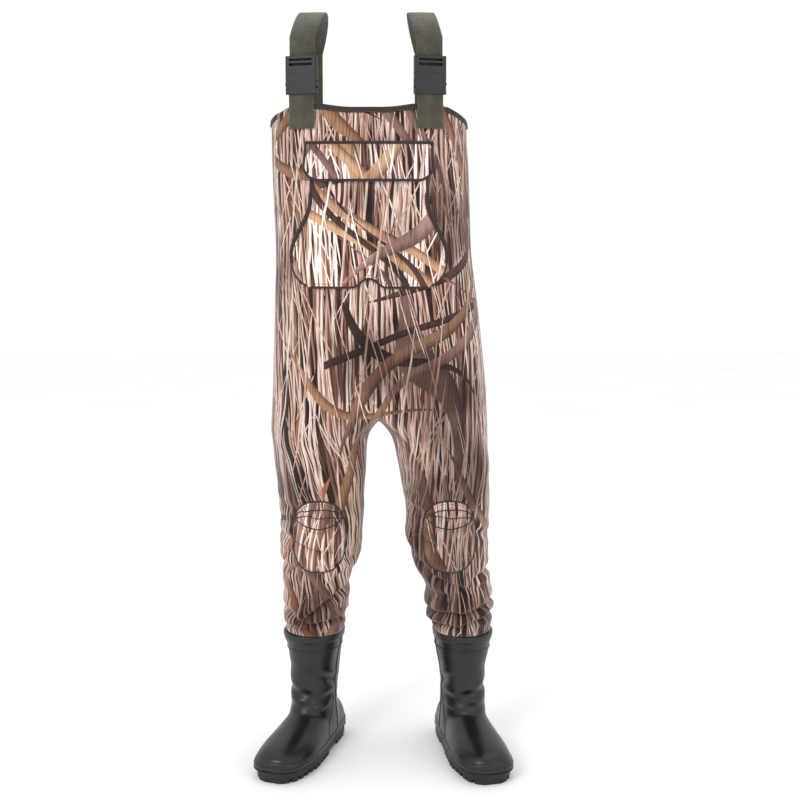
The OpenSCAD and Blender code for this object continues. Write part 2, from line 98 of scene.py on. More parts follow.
def ramp(tree, factor, stops):
    """A colour ramp from [(place, hex colour)], in order."""
    made = add(tree, "ValToRGB", Fac=factor)
    while len(made.color_ramp.elements) < len(stops):
        made.color_ramp.elements.new(1.0)
    for element, (place, code) in zip(made.color_ramp.elements, stops):
        element.position = place
        element.color = tone(code)
    return made.outputs[0]


def blend_colour(tree, factor, a, b, mode="MIX"):
    made = add(tree, "Mix", {"data_type": "RGBA", "blend_type": mode})
    for index, value in ((0, factor), (6, a), (7, b)):
        if isinstance(value, bpy.types.NodeSocket):
            tree.links.new(value, made.inputs[index])
        else:
            made.inputs[index].default_value = value
    return made.outputs[2]


def smooth_step(tree, value, low, high):
    return add(tree, "MapRange", {"interpolation_type": "SMOOTHSTEP"}, Value=value,
               From_Min=low, From_Max=high, To_Min=0.0, To_Max=1.0).outputs[0]


def turned(tree, coords, degrees, across_mm, along_mm, shift=(0.0, 0.0)):
    """Cloth coordinates turned by an angle and scaled so that one unit is one stalk or one blade."""
    spin = add(tree, "VectorRotate", {"rotation_type": "Z_AXIS"}, Vector=coords,
               Angle=math.radians(degrees)).outputs[0]
    return add(tree, "Mapping", {"vector_type": "POINT"}, Vector=spin,
               Location=(shift[0], shift[1], 0.0),
               Scale=(1000 / across_mm, 1000 / along_mm, 1.0)).outputs[0]


def stalks(tree, coords, degrees, across_mm, along_mm, shift, share, half):
    """One layer of reeds or leaf blades: its mask, a number for each one, and the place across it.

    Of all the cells, across_mm by along_mm, a share holds one; half is half its width in cells.
    """
    placed = turned(tree, coords, degrees, across_mm, along_mm, shift)
    cells = add(tree, "TexVoronoi", {"voronoi_dimensions": "2D"}, Vector=placed, Scale=1.0,
                Randomness=1.0)
    local = add(tree, "VectorMath", {"operation": "SUBTRACT"}, i0=placed,
                i1=cells.outputs["Position"]).outputs[0]
    split = add(tree, "SeparateXYZ", Vector=local)
    chance = add(tree, "SeparateColor", Color=cells.outputs["Color"])
    along = math_op(tree, "ABSOLUTE", split.outputs["Y"])
    taper = math_op(tree, "POWER", along, 2.0)
    width = math_op(tree, "MULTIPLY", math_op(tree, "SUBTRACT", 1.0, taper, True), half)
    side = math_op(tree, "ABSOLUTE", split.outputs["X"])
    inside = smooth_step(tree, math_op(tree, "SUBTRACT", width, side), 0.0, 0.06)
    kept = math_op(tree, "LESS_THAN", chance.outputs[0], share)
    across = math_op(tree, "DIVIDE", split.outputs["X"], half)
    return math_op(tree, "MULTIPLY", inside, kept), chance.outputs[1], across


REED_LIGHTS = [(0.0, "#b8958a"), (0.2, "#e8cec0"), (0.45, "#f8e6dc"), (0.7, "#fffaf5"), (0.88, "#d3ad98"),
               (1.0, "#f4dfd4")]
REED_MIDS = [(0.0, "#3f2a24"), (0.3, "#80594a"), (0.6, "#b08672"), (0.85, "#5e3f35"), (1.0, "#c5a18e")]
BLADES = [(0.0, "#75605c"), (0.3, "#9c7a60"), (0.55, "#b08a68"), (0.8, "#87706f"), (1.0, "#a96f4c")]
DARK_BLADES = [(0.0, "#261a17"), (0.5, "#43302c"), (1.0, "#6a5350")]


def shade_across(tree, colour, across, depth):
    """Darkens a stalk towards one edge, so that it looks round."""
    edge = smooth_step(tree, across, -0.2, 1.1)
    dark = blend_colour(tree, 1.0, colour, tone("#4a372c"), "MULTIPLY")
    return blend_colour(tree, math_op(tree, "MULTIPLY", edge, depth), colour, dark)


# The print's layers from the back to the front: degrees from upright, width and length of a cell in mm, its
# place, the share of cells filled, half width in cells, colours, and how dark the shaded edge is.
PRINT_LAYERS = [
    (1, 14, 300, (0.0, 0.0), 0.72, 0.34, REED_MIDS, 0.7),
    (-3, 10, 230, (3.1, 1.7), 0.52, 0.28, REED_MIDS, 0.7),
    (2, 10, 260, (7.3, 4.2), 0.60, 0.30, REED_LIGHTS, 0.5),
    (-5, 7, 180, (2.9, 5.2), 0.42, 0.28, REED_LIGHTS, 0.5),
    (-24, 8, 130, (1.9, 8.8), 0.07, 0.22, REED_LIGHTS, 0.5),
    (27, 7, 120, (5.7, 2.6), 0.08, 0.22, REED_LIGHTS, 0.5),
    (-9, 36, 420, (4.6, 1.3), 0.12, 0.34, BLADES, 0.8),
    (64, 34, 300, (6.2, 7.4), 0.06, 0.32, DARK_BLADES, 0.6),
    (-52, 40, 330, (2.3, 6.1), 0.12, 0.34, BLADES, 0.8),
    (-30, 26, 280, (5.3, 2.8), 0.05, 0.30, DARK_BLADES, 0.6),
    (36, 42, 360, (9.1, 3.9), 0.12, 0.32, BLADES, 0.8),
    (9, 9, 260, (6.6, 9.4), 0.16, 0.26, REED_LIGHTS, 0.5),
    (-14, 5, 110, (8.2, 3.3), 0.12, 0.24, REED_LIGHTS, 0.5),
]


def make_camo(name, shift, light, painted_glare):
    """Knitted jersey on neoprene, printed with dry reeds: matt, soft, with the print's sharp whitish stalks.

    Shift moves the print, as each panel is cut from another place; the last argument screens the colour
    lighter, which is painted glare, strongest on the pocket and flap.
    """
    mat, tree = start_material(name)
    cloth = add(tree, "UVMap", {"uv_map": "cloth"}).outputs[0]
    moved = add(tree, "VectorMath", {"operation": "ADD"}, i0=cloth, i1=(shift[0], shift[1], 0.0)).outputs[0]
    bend = add(tree, "TexNoise", {"noise_dimensions": "2D"}, Vector=moved, Scale=6.0, Detail=1.5).outputs[1]
    offset = add(tree, "VectorMath", {"operation": "MULTIPLY_ADD"}, i0=bend, i1=(0.014, 0.006, 0.0),
                 i2=moved).outputs[0]
    sweep = add(tree, "TexNoise", {"noise_dimensions": "2D"}, Vector=moved, Scale=3.2, Detail=0.0).outputs[1]
    curved = add(tree, "VectorMath", {"operation": "MULTIPLY_ADD"}, i0=sweep, i1=(0.20, 0.20, 0.0),
                 i2=moved).outputs[0]

    patches = add(tree, "TexNoise", {"noise_dimensions": "2D"}, Vector=moved, Scale=11.0,
                  Detail=3.0).outputs[0]
    colour = ramp(tree, patches, [(0.3, "#160f0d"), (0.5, "#2f1f1b"), (0.7, "#5d3f33")])
    for degrees, across, along, at, share, half, stops, depth in PRINT_LAYERS:
        way = curved if stops in (BLADES, DARK_BLADES) else offset
        mask, number, place = stalks(tree, way, degrees, across, along, at, share, half)
        colour = blend_colour(tree, mask, colour, shade_across(tree, ramp(tree, number, stops), place, depth))
    veins = turned(tree, offset, 4, 2.2, 60)
    grain = add(tree, "TexNoise", {"noise_dimensions": "2D"}, Vector=veins, Scale=1.0, Detail=2.0).outputs[0]
    grain = ramp(tree, grain, [(0.32, "#5a4840"), (0.52, "#ffffff")])
    colour = blend_colour(tree, 0.6, colour, grain, "MULTIPLY")
    shade = add(tree, "TexNoise", {"noise_dimensions": "2D"}, Vector=moved, Scale=4.5, Detail=2.0).outputs[0]
    shade = ramp(tree, shade, [(0.34, "#705b54"), (0.5, "#ffffff")])
    colour = blend_colour(tree, 0.75, colour, shade, "MULTIPLY")
    # Painted glare: a lighter tint here and the screen below make the pocket, flap and knee copies of the
    # print brighter than the body's
    colour = blend_colour(tree, 1.0, colour, tone(light), "MULTIPLY")
    colour = blend_colour(tree, painted_glare, colour, colour, "SCREEN")

    # The jersey's ribs are 1 mm apart, drawn at 2.4 mm so that they show
    ribs = add(tree, "TexWave", {"wave_type": "BANDS", "bands_direction": "DIAGONAL"}, Vector=cloth,
               Scale=130.0, Distortion=2.0, Detail=1.0).outputs[1]
    soft = add(tree, "TexNoise", {"noise_dimensions": "2D"}, Vector=cloth, Scale=60.0, Detail=3.0).outputs[0]
    height = math_op(tree, "ADD", math_op(tree, "MULTIPLY", ribs, 0.25), soft)
    bump = add(tree, "Bump", Strength=0.35, Distance=0.0012, Height=height)
    rough = add(tree, "MapRange", Value=soft, To_Min=0.78, To_Max=0.95).outputs[0]
    finish_material(tree, add(tree, "BsdfPrincipled", Base_Color=colour, Roughness=rough,
                              Normal=bump.outputs[0], Sheen_Weight=0.25, Sheen_Roughness=0.5,
                              Specular_IOR_Level=0.25))
    return mat


WEFT_PITCH = 2.8 * MM
WARP_PITCH = 4.2 * MM


def make_webbing(name, code, dark):
    """Nylon webbing woven flat, with ribs across it and fainter ones along it."""
    mat, tree = start_material(name)
    cloth = add(tree, "UVMap", {"uv_map": "cloth"}).outputs[0]
    split = add(tree, "SeparateXYZ", Vector=cloth)
    rows = math_op(tree, "SINE", math_op(tree, "MULTIPLY", split.outputs["Y"], 2 * math.pi / WEFT_PITCH))
    cols = math_op(tree, "SINE", math_op(tree, "MULTIPLY", split.outputs["X"], 2 * math.pi / WARP_PITCH))
    weave = math_op(tree, "MULTIPLY", rows, cols)
    height = math_op(tree, "ADD", math_op(tree, "MULTIPLY", rows, 0.6), weave)
    wear = add(tree, "TexNoise", {"noise_dimensions": "2D"}, Vector=cloth, Scale=45.0, Detail=4.0).outputs[0]
    mixed = math_op(tree, "ADD", math_op(tree, "MULTIPLY", weave, 0.10), wear)
    colour = ramp(tree, mixed, [(0.1, dark), (0.8, code)])
    bump = add(tree, "Bump", Strength=0.6, Distance=0.0008, Height=height)
    finish_material(tree, add(tree, "BsdfPrincipled", Base_Color=colour, Roughness=0.82,
                              Normal=bump.outputs[0], Sheen_Weight=0.3, Specular_IOR_Level=0.3))
    return mat


def make_object_space(name, stops, scale, roughness, bump_scale, bump_size, sheen=0.0):
    """A material whose mottling and grain are worked out from the piece's own place in metres."""
    mat, tree = start_material(name)
    place = add(tree, "TexCoord").outputs["Object"]
    mottle = add(tree, "TexNoise", Vector=place, Scale=scale, Detail=4.0).outputs[0]
    grain = add(tree, "TexNoise", Vector=place, Scale=bump_scale, Detail=3.0).outputs[0]
    colour = ramp(tree, mottle, stops)
    rough = add(tree, "MapRange", Value=mottle, From_Min=0.3, From_Max=0.7, To_Min=roughness[0],
                To_Max=roughness[1]).outputs[0]
    bump = add(tree, "Bump", Strength=0.5, Distance=bump_size, Height=grain)
    finish_material(tree, add(tree, "BsdfPrincipled", Base_Color=colour, Roughness=rough,
                              Normal=bump.outputs[0], Sheen_Weight=sheen))
    return mat


# The four cuts of the print: the body's, and the pocket, flap and knee patches, made lighter with painted
# glare
camo = make_camo("reed_print_neoprene", (0.0, 0.0), "#e6d9d4", 0.1)
camo_pocket = make_camo("reed_print_pocket", (0.37, 0.21), "#fff6f2", 1.0)
camo_flap = make_camo("reed_print_flap", (0.83, 0.52), "#fffafc", 0.7)
camo_knee = make_camo("reed_print_knee", (1.31, 0.11), "#fbf0ec", 0.4)
# Flat-woven nylon webbing: dull olive
webbing = make_webbing("olive_nylon_webbing", "#514f40", "#35342c")
# Ribbed polyester tape: dark brown, with a dull sheen
tape = make_object_space("dark_binding_tape", [(0.3, "#1d1213"), (0.7, "#352221")], 60.0, (0.7, 0.9),
                         900.0, 0.0004, sheen=0.1)
# Moulded acetal: black, slightly grained, with a soft highlight
acetal = make_object_space("moulded_black_acetal", [(0.3, "#070708"), (0.7, "#121214")], 80.0, (0.3, 0.45),
                           1400.0, 0.0001)
# Vulcanised rubber: black with a bluish bloom, satin on the uppers and matt on the sole
rubber = make_object_space("vulcanised_black_rubber", [(0.3, "#08090a"), (0.7, "#101214")], 18.0,
                           (0.27, 0.42), 160.0, 0.0003)
# The rubber bands laid on the uppers: a little duller, with a fine grain
rubber_band = make_object_space("foxing_rubber", [(0.3, "#0a0b0c"), (0.7, "#141517")], 30.0, (0.32, 0.46),
                                500.0, 0.0003)
# The sole's rubber: greyer and quite matt, as it is moulded against a rough face
rubber_sole = make_object_space("matt_sole_rubber", [(0.3, "#0c0d0e"), (0.7, "#1a1b1c")], 30.0,
                                (0.5, 0.7), 300.0, 0.0005)
# Hook and loop tape: black and fuzzy
hook_tape = make_object_space("hook_and_loop_tape", [(0.3, "#0d0d0d"), (0.7, "#232323")], 300.0, (0.85, 0.95),
                              1500.0, 0.0006, sheen=0.4)
# Needled felt for the insoles: grey, soft and flecked
felt = make_object_space("needled_felt", [(0.3, "#4e4a43"), (0.7, "#7a746a")], 200.0, (0.9, 0.97), 900.0,
                         0.0006, sheen=0.3)
# Bonded nylon thread, drawn a little thicker than its 0.5 mm
thread = make_object_space("olive_thread", [(0.3, "#4a4636"), (0.7, "#6b6550")], 300.0, (0.6, 0.8), 2000.0,
                           0.0001)


# ---------------------------------------------------------------- measuring the frame

def tree_over(*objs):
    """One search tree over the faces of these objects, which all stand at the origin."""
    verts, faces = [], []
    for obj in objs:
        first = len(verts)
        verts += [v.co.copy() for v in obj.data.vertices]
        faces += [[first + i for i in p.vertices] for p in obj.data.polygons]
    return BVHTree.FromPolygons(verts, faces)


def tree_of(*names):
    """One search tree over these CAD nodes."""
    return tree_over(*(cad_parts[name] for name in names))


def cast_in(tree, centre, angle, z, far=0.5):
    """Where a level ray from outside first meets the tree on its way to the centre."""
    way = Vector((math.sin(angle), -math.cos(angle), 0.0))
    start = Vector((centre[0], centre[1], z)) + way * far
    return tree.ray_cast(start, -way, far)[0]


def middle(node):
    """The middle of a CAD node's box."""
    low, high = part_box(node)
    return Vector([(a + b) / 2 for a, b in zip(low, high)])


def resample(points, count):
    """count points, evenly spaced along an open line, ends included."""
    points = np.array(points)
    step = np.linalg.norm(np.diff(points, axis=0), axis=1)
    place = np.concatenate([[0.0], np.cumsum(step)])
    wanted = np.linspace(0.0, place[-1], count)
    return np.stack([np.interp(wanted, place, points[:, i]) for i in range(points.shape[1])], 1)


def half_ring(tree, centre, z, start, end, count):
    """The outline at one height from one angle to another, evenly spaced."""
    found = [cast_in(tree, centre, a, z) for a in np.linspace(start, end, 90)]
    return resample([(p.x, p.y) for p in found if p is not None], count)


def curve_through(heights, rows, z):
    """Rows of points at falling heights, joined by a smooth curve, at height z for each point."""
    k = np.clip(np.searchsorted(-np.array(heights), -z, side="right") - 1, 0, len(heights) - 2)
    out = np.empty((len(z), 2))
    for i, (j, zi) in enumerate(zip(k, z)):
        a, b = max(j - 1, 0), min(j + 2, len(heights) - 1)
        h0, h1 = heights[j], heights[j + 1]
        t = (zi - h0) / (h1 - h0)
        m0 = (rows[j + 1][i] - rows[a][i]) / (heights[j + 1] - heights[a]) * (h1 - h0)
        m1 = (rows[b][i] - rows[j][i]) / (heights[b] - heights[j]) * (h1 - h0)
        t2, t3 = t * t, t * t * t
        out[i] = ((2 * t3 - 3 * t2 + 1) * rows[j][i] + (t3 - 2 * t2 + t) * m0
                  + (3 * t2 - 2 * t3) * rows[j + 1][i] + (t3 - t2) * m1)
    return out


# ---------------------------------------------------------------- the garment

NEOPRENE = 4.5 * MM
CROTCH_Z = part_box("bib_front")[0][2]
CUFF_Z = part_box("right_shin")[0][2]
HIP_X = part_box("left_thigh_front")[0][0]
BODY_Y = (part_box("bib_front")[0][1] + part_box("bib_back")[1][1]) / 2
CHEST_X = middle("top_binding").x
LEG_X = 135 * MM
SIDE_EDGE_Z = 1.24
# The highest level at which the bib goes all the way round
FULL_RING_Z = 1.228
# The mesh: points in half a ring of the bib, points in the crotch seam, rows in the bib and in a leg
HALF = 46
SEAM = 17
TORSO_ROWS = 46
LEG_ROWS = 56
bib_tree = tree_of("bib_front", "bib_back")


def torso_centre(z):
    return HIP_X + (CHEST_X - HIP_X) * (z - CROTCH_Z) / (SIDE_EDGE_Z - CROTCH_Z), BODY_Y


def torso_ring(z):
    """Front middle, round the left side, back middle, round the right side."""
    c = torso_centre(z)
    left = half_ring(bib_tree, c, z, 0.0, math.pi, HALF + 1)
    right = half_ring(bib_tree, c, z, -math.pi, 0.0, HALF + 1)
    return np.concatenate([left[:-1], right[:-1]])


def top_of(x, y):
    """Height of the bib's cut edge above a point on its side."""
    c = torso_centre(1.23)
    angle = math.atan2(x - c[0], -(y - c[1]))
    for z in np.arange(FULL_RING_Z + 4 * MM, 1.30, 1 * MM):
        if cast_in(bib_tree, c, angle, z, 0.3) is None:
            return z - 1 * MM
    return SIDE_EDGE_Z


LEG_NODES = ("thigh_front", "thigh_back", "knee_sleeve", "shin")


def build_garment():
    """One pair of trousers with a bib: even rows of points, with its cloth coordinates."""
    heights = [1.36, FULL_RING_Z, 1.16, 1.08, 1.0, 0.93, 0.865, 0.80, 0.74, CROTCH_Z + 4 * MM]
    rings = [torso_ring(min(z, FULL_RING_Z)) for z in heights]
    tops = np.array([top_of(x, y) for x, y in rings[1]])
    tops = np.convolve(np.concatenate([tops[-2:], tops, tops[:2]]), [0.1, 0.2, 0.4, 0.2, 0.1], "valid")
    verts, rows = [], []
    for r in range(TORSO_ROWS + 1):
        z = CROTCH_Z + (tops - CROTCH_Z) * (1 - r / TORSO_ROWS)
        xy = curve_through(heights, rings, z)
        rows.append(list(range(len(verts), len(verts) + 2 * HALF)))
        verts += [(x, y, h) for (x, y), h in zip(xy, z)]
    faces = []
    for r, (a, b) in enumerate(zip(rows, rows[1:])):
        for i in range(2 * HALF):
            j = (i + 1) % (2 * HALF)
            faces.append(([a[i], b[i], b[j], a[j]], "bib", r, i))

    # The crotch seam, from the front middle to the back middle, shared by both legs
    base = rows[-1]
    front, back = Vector(verts[base[0]]), Vector(verts[base[HALF]])
    seam = []
    for s in range(1, SEAM):
        t = s / SEAM
        seam.append(len(verts))
        p = front.lerp(back, t)
        verts.append((p.x, p.y, p.z - 0.022 * math.sin(math.pi * t)))
    leg_rows = {}
    for side, sign in SIDES.items():
        outer = base[:HALF + 1]
        if sign < 0:
            outer = [base[i % (2 * HALF)] for i in range(2 * HALF, HALF - 1, -1)]
        start = outer + seam[::-1]
        leg_tree = tree_of(*(f"{side}_{n}" for n in LEG_NODES))
        levels = [0.648, 0.60, 0.55, 0.505, 0.47, 0.44, 0.407, 0.385, 0.35, 0.315, 0.28, CUFF_Z + 0.003]
        loops = []
        for z in levels:
            c = leg_centre(leg_tree, side, z)
            inner = 2 * math.pi * SEAM / (HALF + SEAM) / 2
            # Angles are counted from the front, towards the wearer's left
            ring = half_ring(leg_tree, c, z, -sign * (math.pi / 2 - inner),
                             sign * (1.5 * math.pi - inner), HALF + 1)
            rest = half_ring(leg_tree, c, z, sign * (1.5 * math.pi - inner),
                             sign * (1.5 * math.pi + inner), SEAM + 1)
            loops.append(np.concatenate([ring, rest[1:-1]]))
        start_xyz = np.array([verts[i] for i in start])
        count = len(start)
        previous = start
        kept = [start]
        for r in range(1, LEG_ROWS + 1):
            z = start_xyz[:, 2] + (CUFF_Z - start_xyz[:, 2]) * r / LEG_ROWS
            xy = np.empty((count, 2))
            for i in range(count):
                column = [start_xyz[i, :2]] + [loop[i] for loop in loops]
                xy[i] = curve_through([start_xyz[i, 2]] + levels, [[c] for c in column], z[i:i + 1])[0]
            now = list(range(len(verts), len(verts) + count))
            verts += [(x, y, h) for (x, y), h in zip(xy, z)]
            for i in range(count):
                j = (i + 1) % count
                quad = [previous[i], now[i], now[j], previous[j]]
                faces.append((quad if sign > 0 else quad[::-1], side, r - 1, i))
            previous = now
            kept.append(now)
        leg_rows[side] = kept
    return verts, faces, rows, leg_rows


def leg_centre(leg_tree, side, z):
    """The middle of a leg's outline at one height."""
    below_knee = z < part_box(f"{side}_knee_sleeve")[0][2]
    guess = (middle(f"{side}_shin" if below_knee else f"{side}_knee_sleeve").x,
             BODY_Y + (30 * MM if below_knee else 0.0))
    for _ in range(2):
        hits = [cast_in(leg_tree, guess, a, z, 0.4) for a in np.linspace(0, 2 * math.pi, 24, False)]
        hits = [h for h in hits if h is not None]
        guess = ((min(h.x for h in hits) + max(h.x for h in hits)) / 2,
                 (min(h.y for h in hits) + max(h.y for h in hits)) / 2)
    return guess


def cloth_places(verts, rows, leg_rows):
    """Flat cloth coordinates for every corner: metres round the body and metres above the floor."""
    table = {}
    points = np.array(verts)

    def lengths(loop):
        ring = points[loop + [loop[0]]]
        return np.concatenate([[0.0], np.cumsum(np.linalg.norm(np.diff(ring, axis=0), axis=1))])

    for r, row in enumerate(rows):
        s = lengths(row)
        for i in range(2 * HALF):
            back = s[-1] if i >= HALF else 0.0
            table["bib", r, i] = (s[i] - back, s[i + 1] - back)
    quarter = lengths(rows[-1])[-1] / 4
    for side, sign in SIDES.items():
        for r, row in enumerate(leg_rows[side]):
            s = lengths(row)
            half_way = s[HALF // 2]
            for i in range(len(row)):
                back = s[-1] if i >= HALF + SEAM // 2 else 0.0
                table[side, r, i] = tuple(sign * (quarter + s[i + k] - back - half_way) for k in (0, 1))
    return table


def grid_faces(rows, cols, rows_meet=False, cols_meet=False, first=0):
    """Four-cornered faces between rows of points; the last row or column may meet the first again."""
    return [(first + i * cols + k, first + (i + 1) % rows * cols + k,
             first + (i + 1) % rows * cols + (k + 1) % cols, first + i * cols + (k + 1) % cols)
            for i in range(rows if rows_meet else rows - 1) for k in range(cols if cols_meet else cols - 1)]


def mesh_from(name, verts, faces, corners=None):
    """A mesh object; corners is a cloth coordinate for each corner of each face, in order."""
    mesh = bpy.data.meshes.new(name)
    mesh.from_pydata([tuple(v) for v in verts], [], faces)
    if corners is not None:
        layer = mesh.uv_layers.new(name="cloth")
        layer.uv.foreach_set("vector", np.array(corners, np.float32).ravel())
    mesh.polygons.foreach_set("use_smooth", [True] * len(mesh.polygons))
    mesh.update()
    obj = bpy.data.objects.new(name, mesh)
    bpy.context.scene.collection.objects.link(obj)
    return obj


def settle(obj):
    """Applies the object's modifiers to its mesh."""
    bpy.context.view_layer.update()
    graph = bpy.context.evaluated_depsgraph_get()
    mesh = bpy.data.meshes.new_from_object(obj.evaluated_get(graph))
    obj.modifiers.clear()
    old = obj.data
    obj.data = mesh
    bpy.data.meshes.remove(old)
    return obj


def fade(value, low, high):
    t = np.clip((value - low) / (high - low), 0.0, 1.0)
    return t * t * (3 - 2 * t)


def thicken(obj, thickness):
    """Gives a sheet its thickness, inwards from its face."""
    thick = obj.modifiers.new("thick", "SOLIDIFY")
    thick.thickness = thickness
    thick.offset = -1.0
    return settle(obj)


CLOTH_FRAMES = 30
MOST_MOVE = 30 * MM
# Soft, heavy neoprene, held out a little by the leg inside it
CLOTH = {
    "quality": 8, "mass": 0.3, "air_damping": 3.0, "tension_stiffness": 60.0, "compression_stiffness": 60.0,
    "shear_stiffness": 20.0, "bending_stiffness": 3.0, "tension_damping": 8.0, "compression_damping": 8.0,
    "shear_damping": 8.0, "vertex_group_mass": "pinned", "use_pressure": True, "uniform_pressure_force": 1.5,
}
# Spare length for each metre of leg, and spare girth: how much, at what height, over what reach
SPARE_LENGTH = [(0.42, 0.295, 0.045), (0.20, 0.425, 0.05), (0.07, 0.55, 0.06)]
SPARE_GIRTH = [(0.05, 0.31, 0.06), (0.03, 0.46, 0.06)]


def bumps(z, table):
    return sum(size * np.exp(-((z - level) / reach) ** 2) for size, level, reach in table)


def spare_cloth(rest):
    """The legs as they were cut: longer than the gap they fill, most of all just above the boots."""
    z = rest[:, 2]
    grid = np.linspace(CUFF_Z, CROTCH_Z, 400)
    ease = 0.03 + bumps(grid, SPARE_LENGTH)
    drop = np.concatenate([[0.0], np.cumsum((ease[1:] + ease[:-1]) / 2 * np.diff(grid))])
    cut = rest.copy()
    below = np.clip(z, CUFF_Z, CROTCH_Z)
    cut[:, 2] = z - (drop[-1] - np.interp(below, grid, drop))
    wide = 1 + bumps(z, SPARE_GIRTH) * (1 - fade(z, CROTCH_Z - 80 * MM, CROTCH_Z))
    for sign in (-1, 1):
        on = np.sign(rest[:, 0] - HIP_X) == sign
        cut[on, 0] = sign * LEG_X + (cut[on, 0] - sign * LEG_X) * wide[on]
        cut[on, 1] = BODY_Y + (cut[on, 1] - BODY_Y) * wide[on]
    return cut


def uneven(rest):
    """A millimetre or two of unevenness, so that the folds don't come out level."""
    x, y, z = rest.T
    wave = (np.sin(52 * z + 14 * x + 3) * np.sin(31 * y - 22 * z) + 0.6 * np.sin(75 * z - 26 * x + 1)
            + 0.5 * np.sin(44 * x + 38 * y + 60 * z + 2))
    size = 1.6 * MM * (1 - fade(z, CROTCH_Z - 0.1, CROTCH_Z)) * fade(z, CUFF_Z + 0.008, CUFF_Z + 0.03)
    out = rest.copy()
    centre = np.where(x < HIP_X, -LEG_X, LEG_X)
    way = np.stack([x - centre, y - BODY_Y], 1)
    way /= np.maximum(np.linalg.norm(way, axis=1, keepdims=True), 1e-6)
    out[:, :2] += way * (wave * size)[:, None]
    return out


def crumple(obj):
    """Lets the legs' spare length fold under its own weight, as bunched neoprene does."""
    rest = np.array([v.co[:] for v in obj.data.vertices])
    z = rest[:, 2]
    pin = fade(z, CROTCH_Z - 0.11, CROTCH_Z - 0.01)
    pin = np.maximum(pin, 1.0 - fade(z, CUFF_Z + 0.006, CUFF_Z + 0.018))
    group = obj.vertex_groups.new(name="pinned")
    for i, w in enumerate(pin):
        group.add([i], float(w), "REPLACE")
    start = uneven(rest)
    obj.data.vertices.foreach_set("co", start.astype(np.float32).ravel())
    obj.shape_key_add(name="worn")
    cut = obj.shape_key_add(name="cut")
    cut.data.foreach_set("co", spare_cloth(rest).astype(np.float32).ravel())
    cloth = obj.modifiers.new("cloth", "CLOTH")
    for key, value in CLOTH.items():
        setattr(cloth.settings, key, value)
    cloth.settings.rest_shape_key = cut
    cloth.settings.effector_weights.gravity = 0.5
    cloth.point_cache.frame_start = 1
    cloth.point_cache.frame_end = CLOTH_FRAMES
    for f in range(1, CLOTH_FRAMES + 1):
        bpy.context.scene.frame_set(f)
    graph = bpy.context.evaluated_depsgraph_get()
    moved = np.array([v.co[:] for v in obj.evaluated_get(graph).data.vertices])
    obj.modifiers.clear()
    obj.shape_key_clear()
    bpy.context.scene.frame_set(1)
    step = moved - rest
    size = np.linalg.norm(step, axis=1, keepdims=True)
    step *= np.minimum(1.0, MOST_MOVE / np.maximum(size, 1e-9))
    return rest + step


# Creases that wear has set in the legs. Each runs across from one X and Z to another, in mm, with its depth
# and half width; the last number is 1 on the front of the leg and -1 on the back.
CREASES = [
    (-212, 303, -162, 280, 9, 8, 1), (-168, 279, -76, 343, 12, 8, 1), (-192, 261, -74, 288, 8, 6, 1),
    (-196, 450, -60, 424, 8, 9, 1), (-104, 398, -54, 412, 9, 9, 1), (-206, 398, -150, 374, 5, 9, 1),
    (-152, 326, -84, 374, 5, 8, 1), (-200, 520, -130, 497, 3, 9, 1),
    (-205, 304, -80, 276, 9, 8, -1), (-195, 340, -90, 366, 7, 9, -1), (-190, 430, -70, 455, 7, 10, -1),
    (-190, 486, -80, 470, 4, 9, -1),
    (44, 434, 97, 370, 9, 8, 1), (93, 371, 165, 347, 7, 8, 1), (160, 348, 222, 392, 5, 8, 1),
    (82, 297, 156, 293, 10, 8, 1), (150, 293, 230, 319, 10, 8, 1), (84, 270, 152, 267, 7, 6, 1),
    (148, 267, 224, 290, 7, 6, 1), (82, 455, 132, 438, 8, 9, 1), (176, 474, 214, 440, 5, 8, 1),
    (100, 330, 196, 346, 4, 8, 1), (50, 512, 120, 496, 4, 9, 1),
    (90, 302, 222, 280, 9, 8, -1), (95, 344, 215, 372, 7, 9, -1), (70, 456, 200, 432, 7, 10, -1),
    (80, 484, 190, 474, 4, 9, -1),
]


def press_creases(obj):
    """Presses the creases into the legs; the roll above each one hangs over it a little."""
    count = len(obj.data.vertices)
    co, normal = np.empty(count * 3, np.float32), np.empty(count * 3, np.float32)
    obj.data.vertices.foreach_get("co", co)
    obj.data.vertices.foreach_get("normal", normal)
    co, normal = co.reshape(-1, 3).astype(float), normal.reshape(-1, 3)
    x, z = co[:, 0] / MM, co[:, 2] / MM
    push, sag = np.zeros(count), np.zeros(count)
    for x0, z0, x1, z1, depth, width, way in CREASES:
        t = (x - x0) / (x1 - x0)
        slope = (z1 - z0) / (x1 - x0)
        d = (z - z0 - (z1 - z0) * np.clip(t, -0.1, 1.1)) / math.hypot(1.0, slope) / width
        d = d + 0.35 * np.sin(t * 5.0 + x0)
        ends = fade(t, -0.22, 0.12) * (1 - fade(t, 0.88, 1.22))
        side = fade(-normal[:, 1] * way, -0.35, 0.25)
        size = depth * ends * side * fade(z, 252, 264)
        push += size * (0.55 * np.exp(-((d - 1.7) / 0.95) ** 2) + 0.35 * np.exp(-((d + 1.7) / 1.0) ** 2)
                        - np.exp(-d * d))
        sag += size * 0.55 * np.exp(-((d - 1.1) / 0.9) ** 2)
    co += normal * (np.clip(push, -15, 10) * MM)[:, None]
    co[:, 2] -= np.clip(sag, 0, 9) * MM
    obj.data.vertices.foreach_set("co", co.astype(np.float32).ravel())
    obj.data.update()


PARTS = ["bib", "right", "left"]


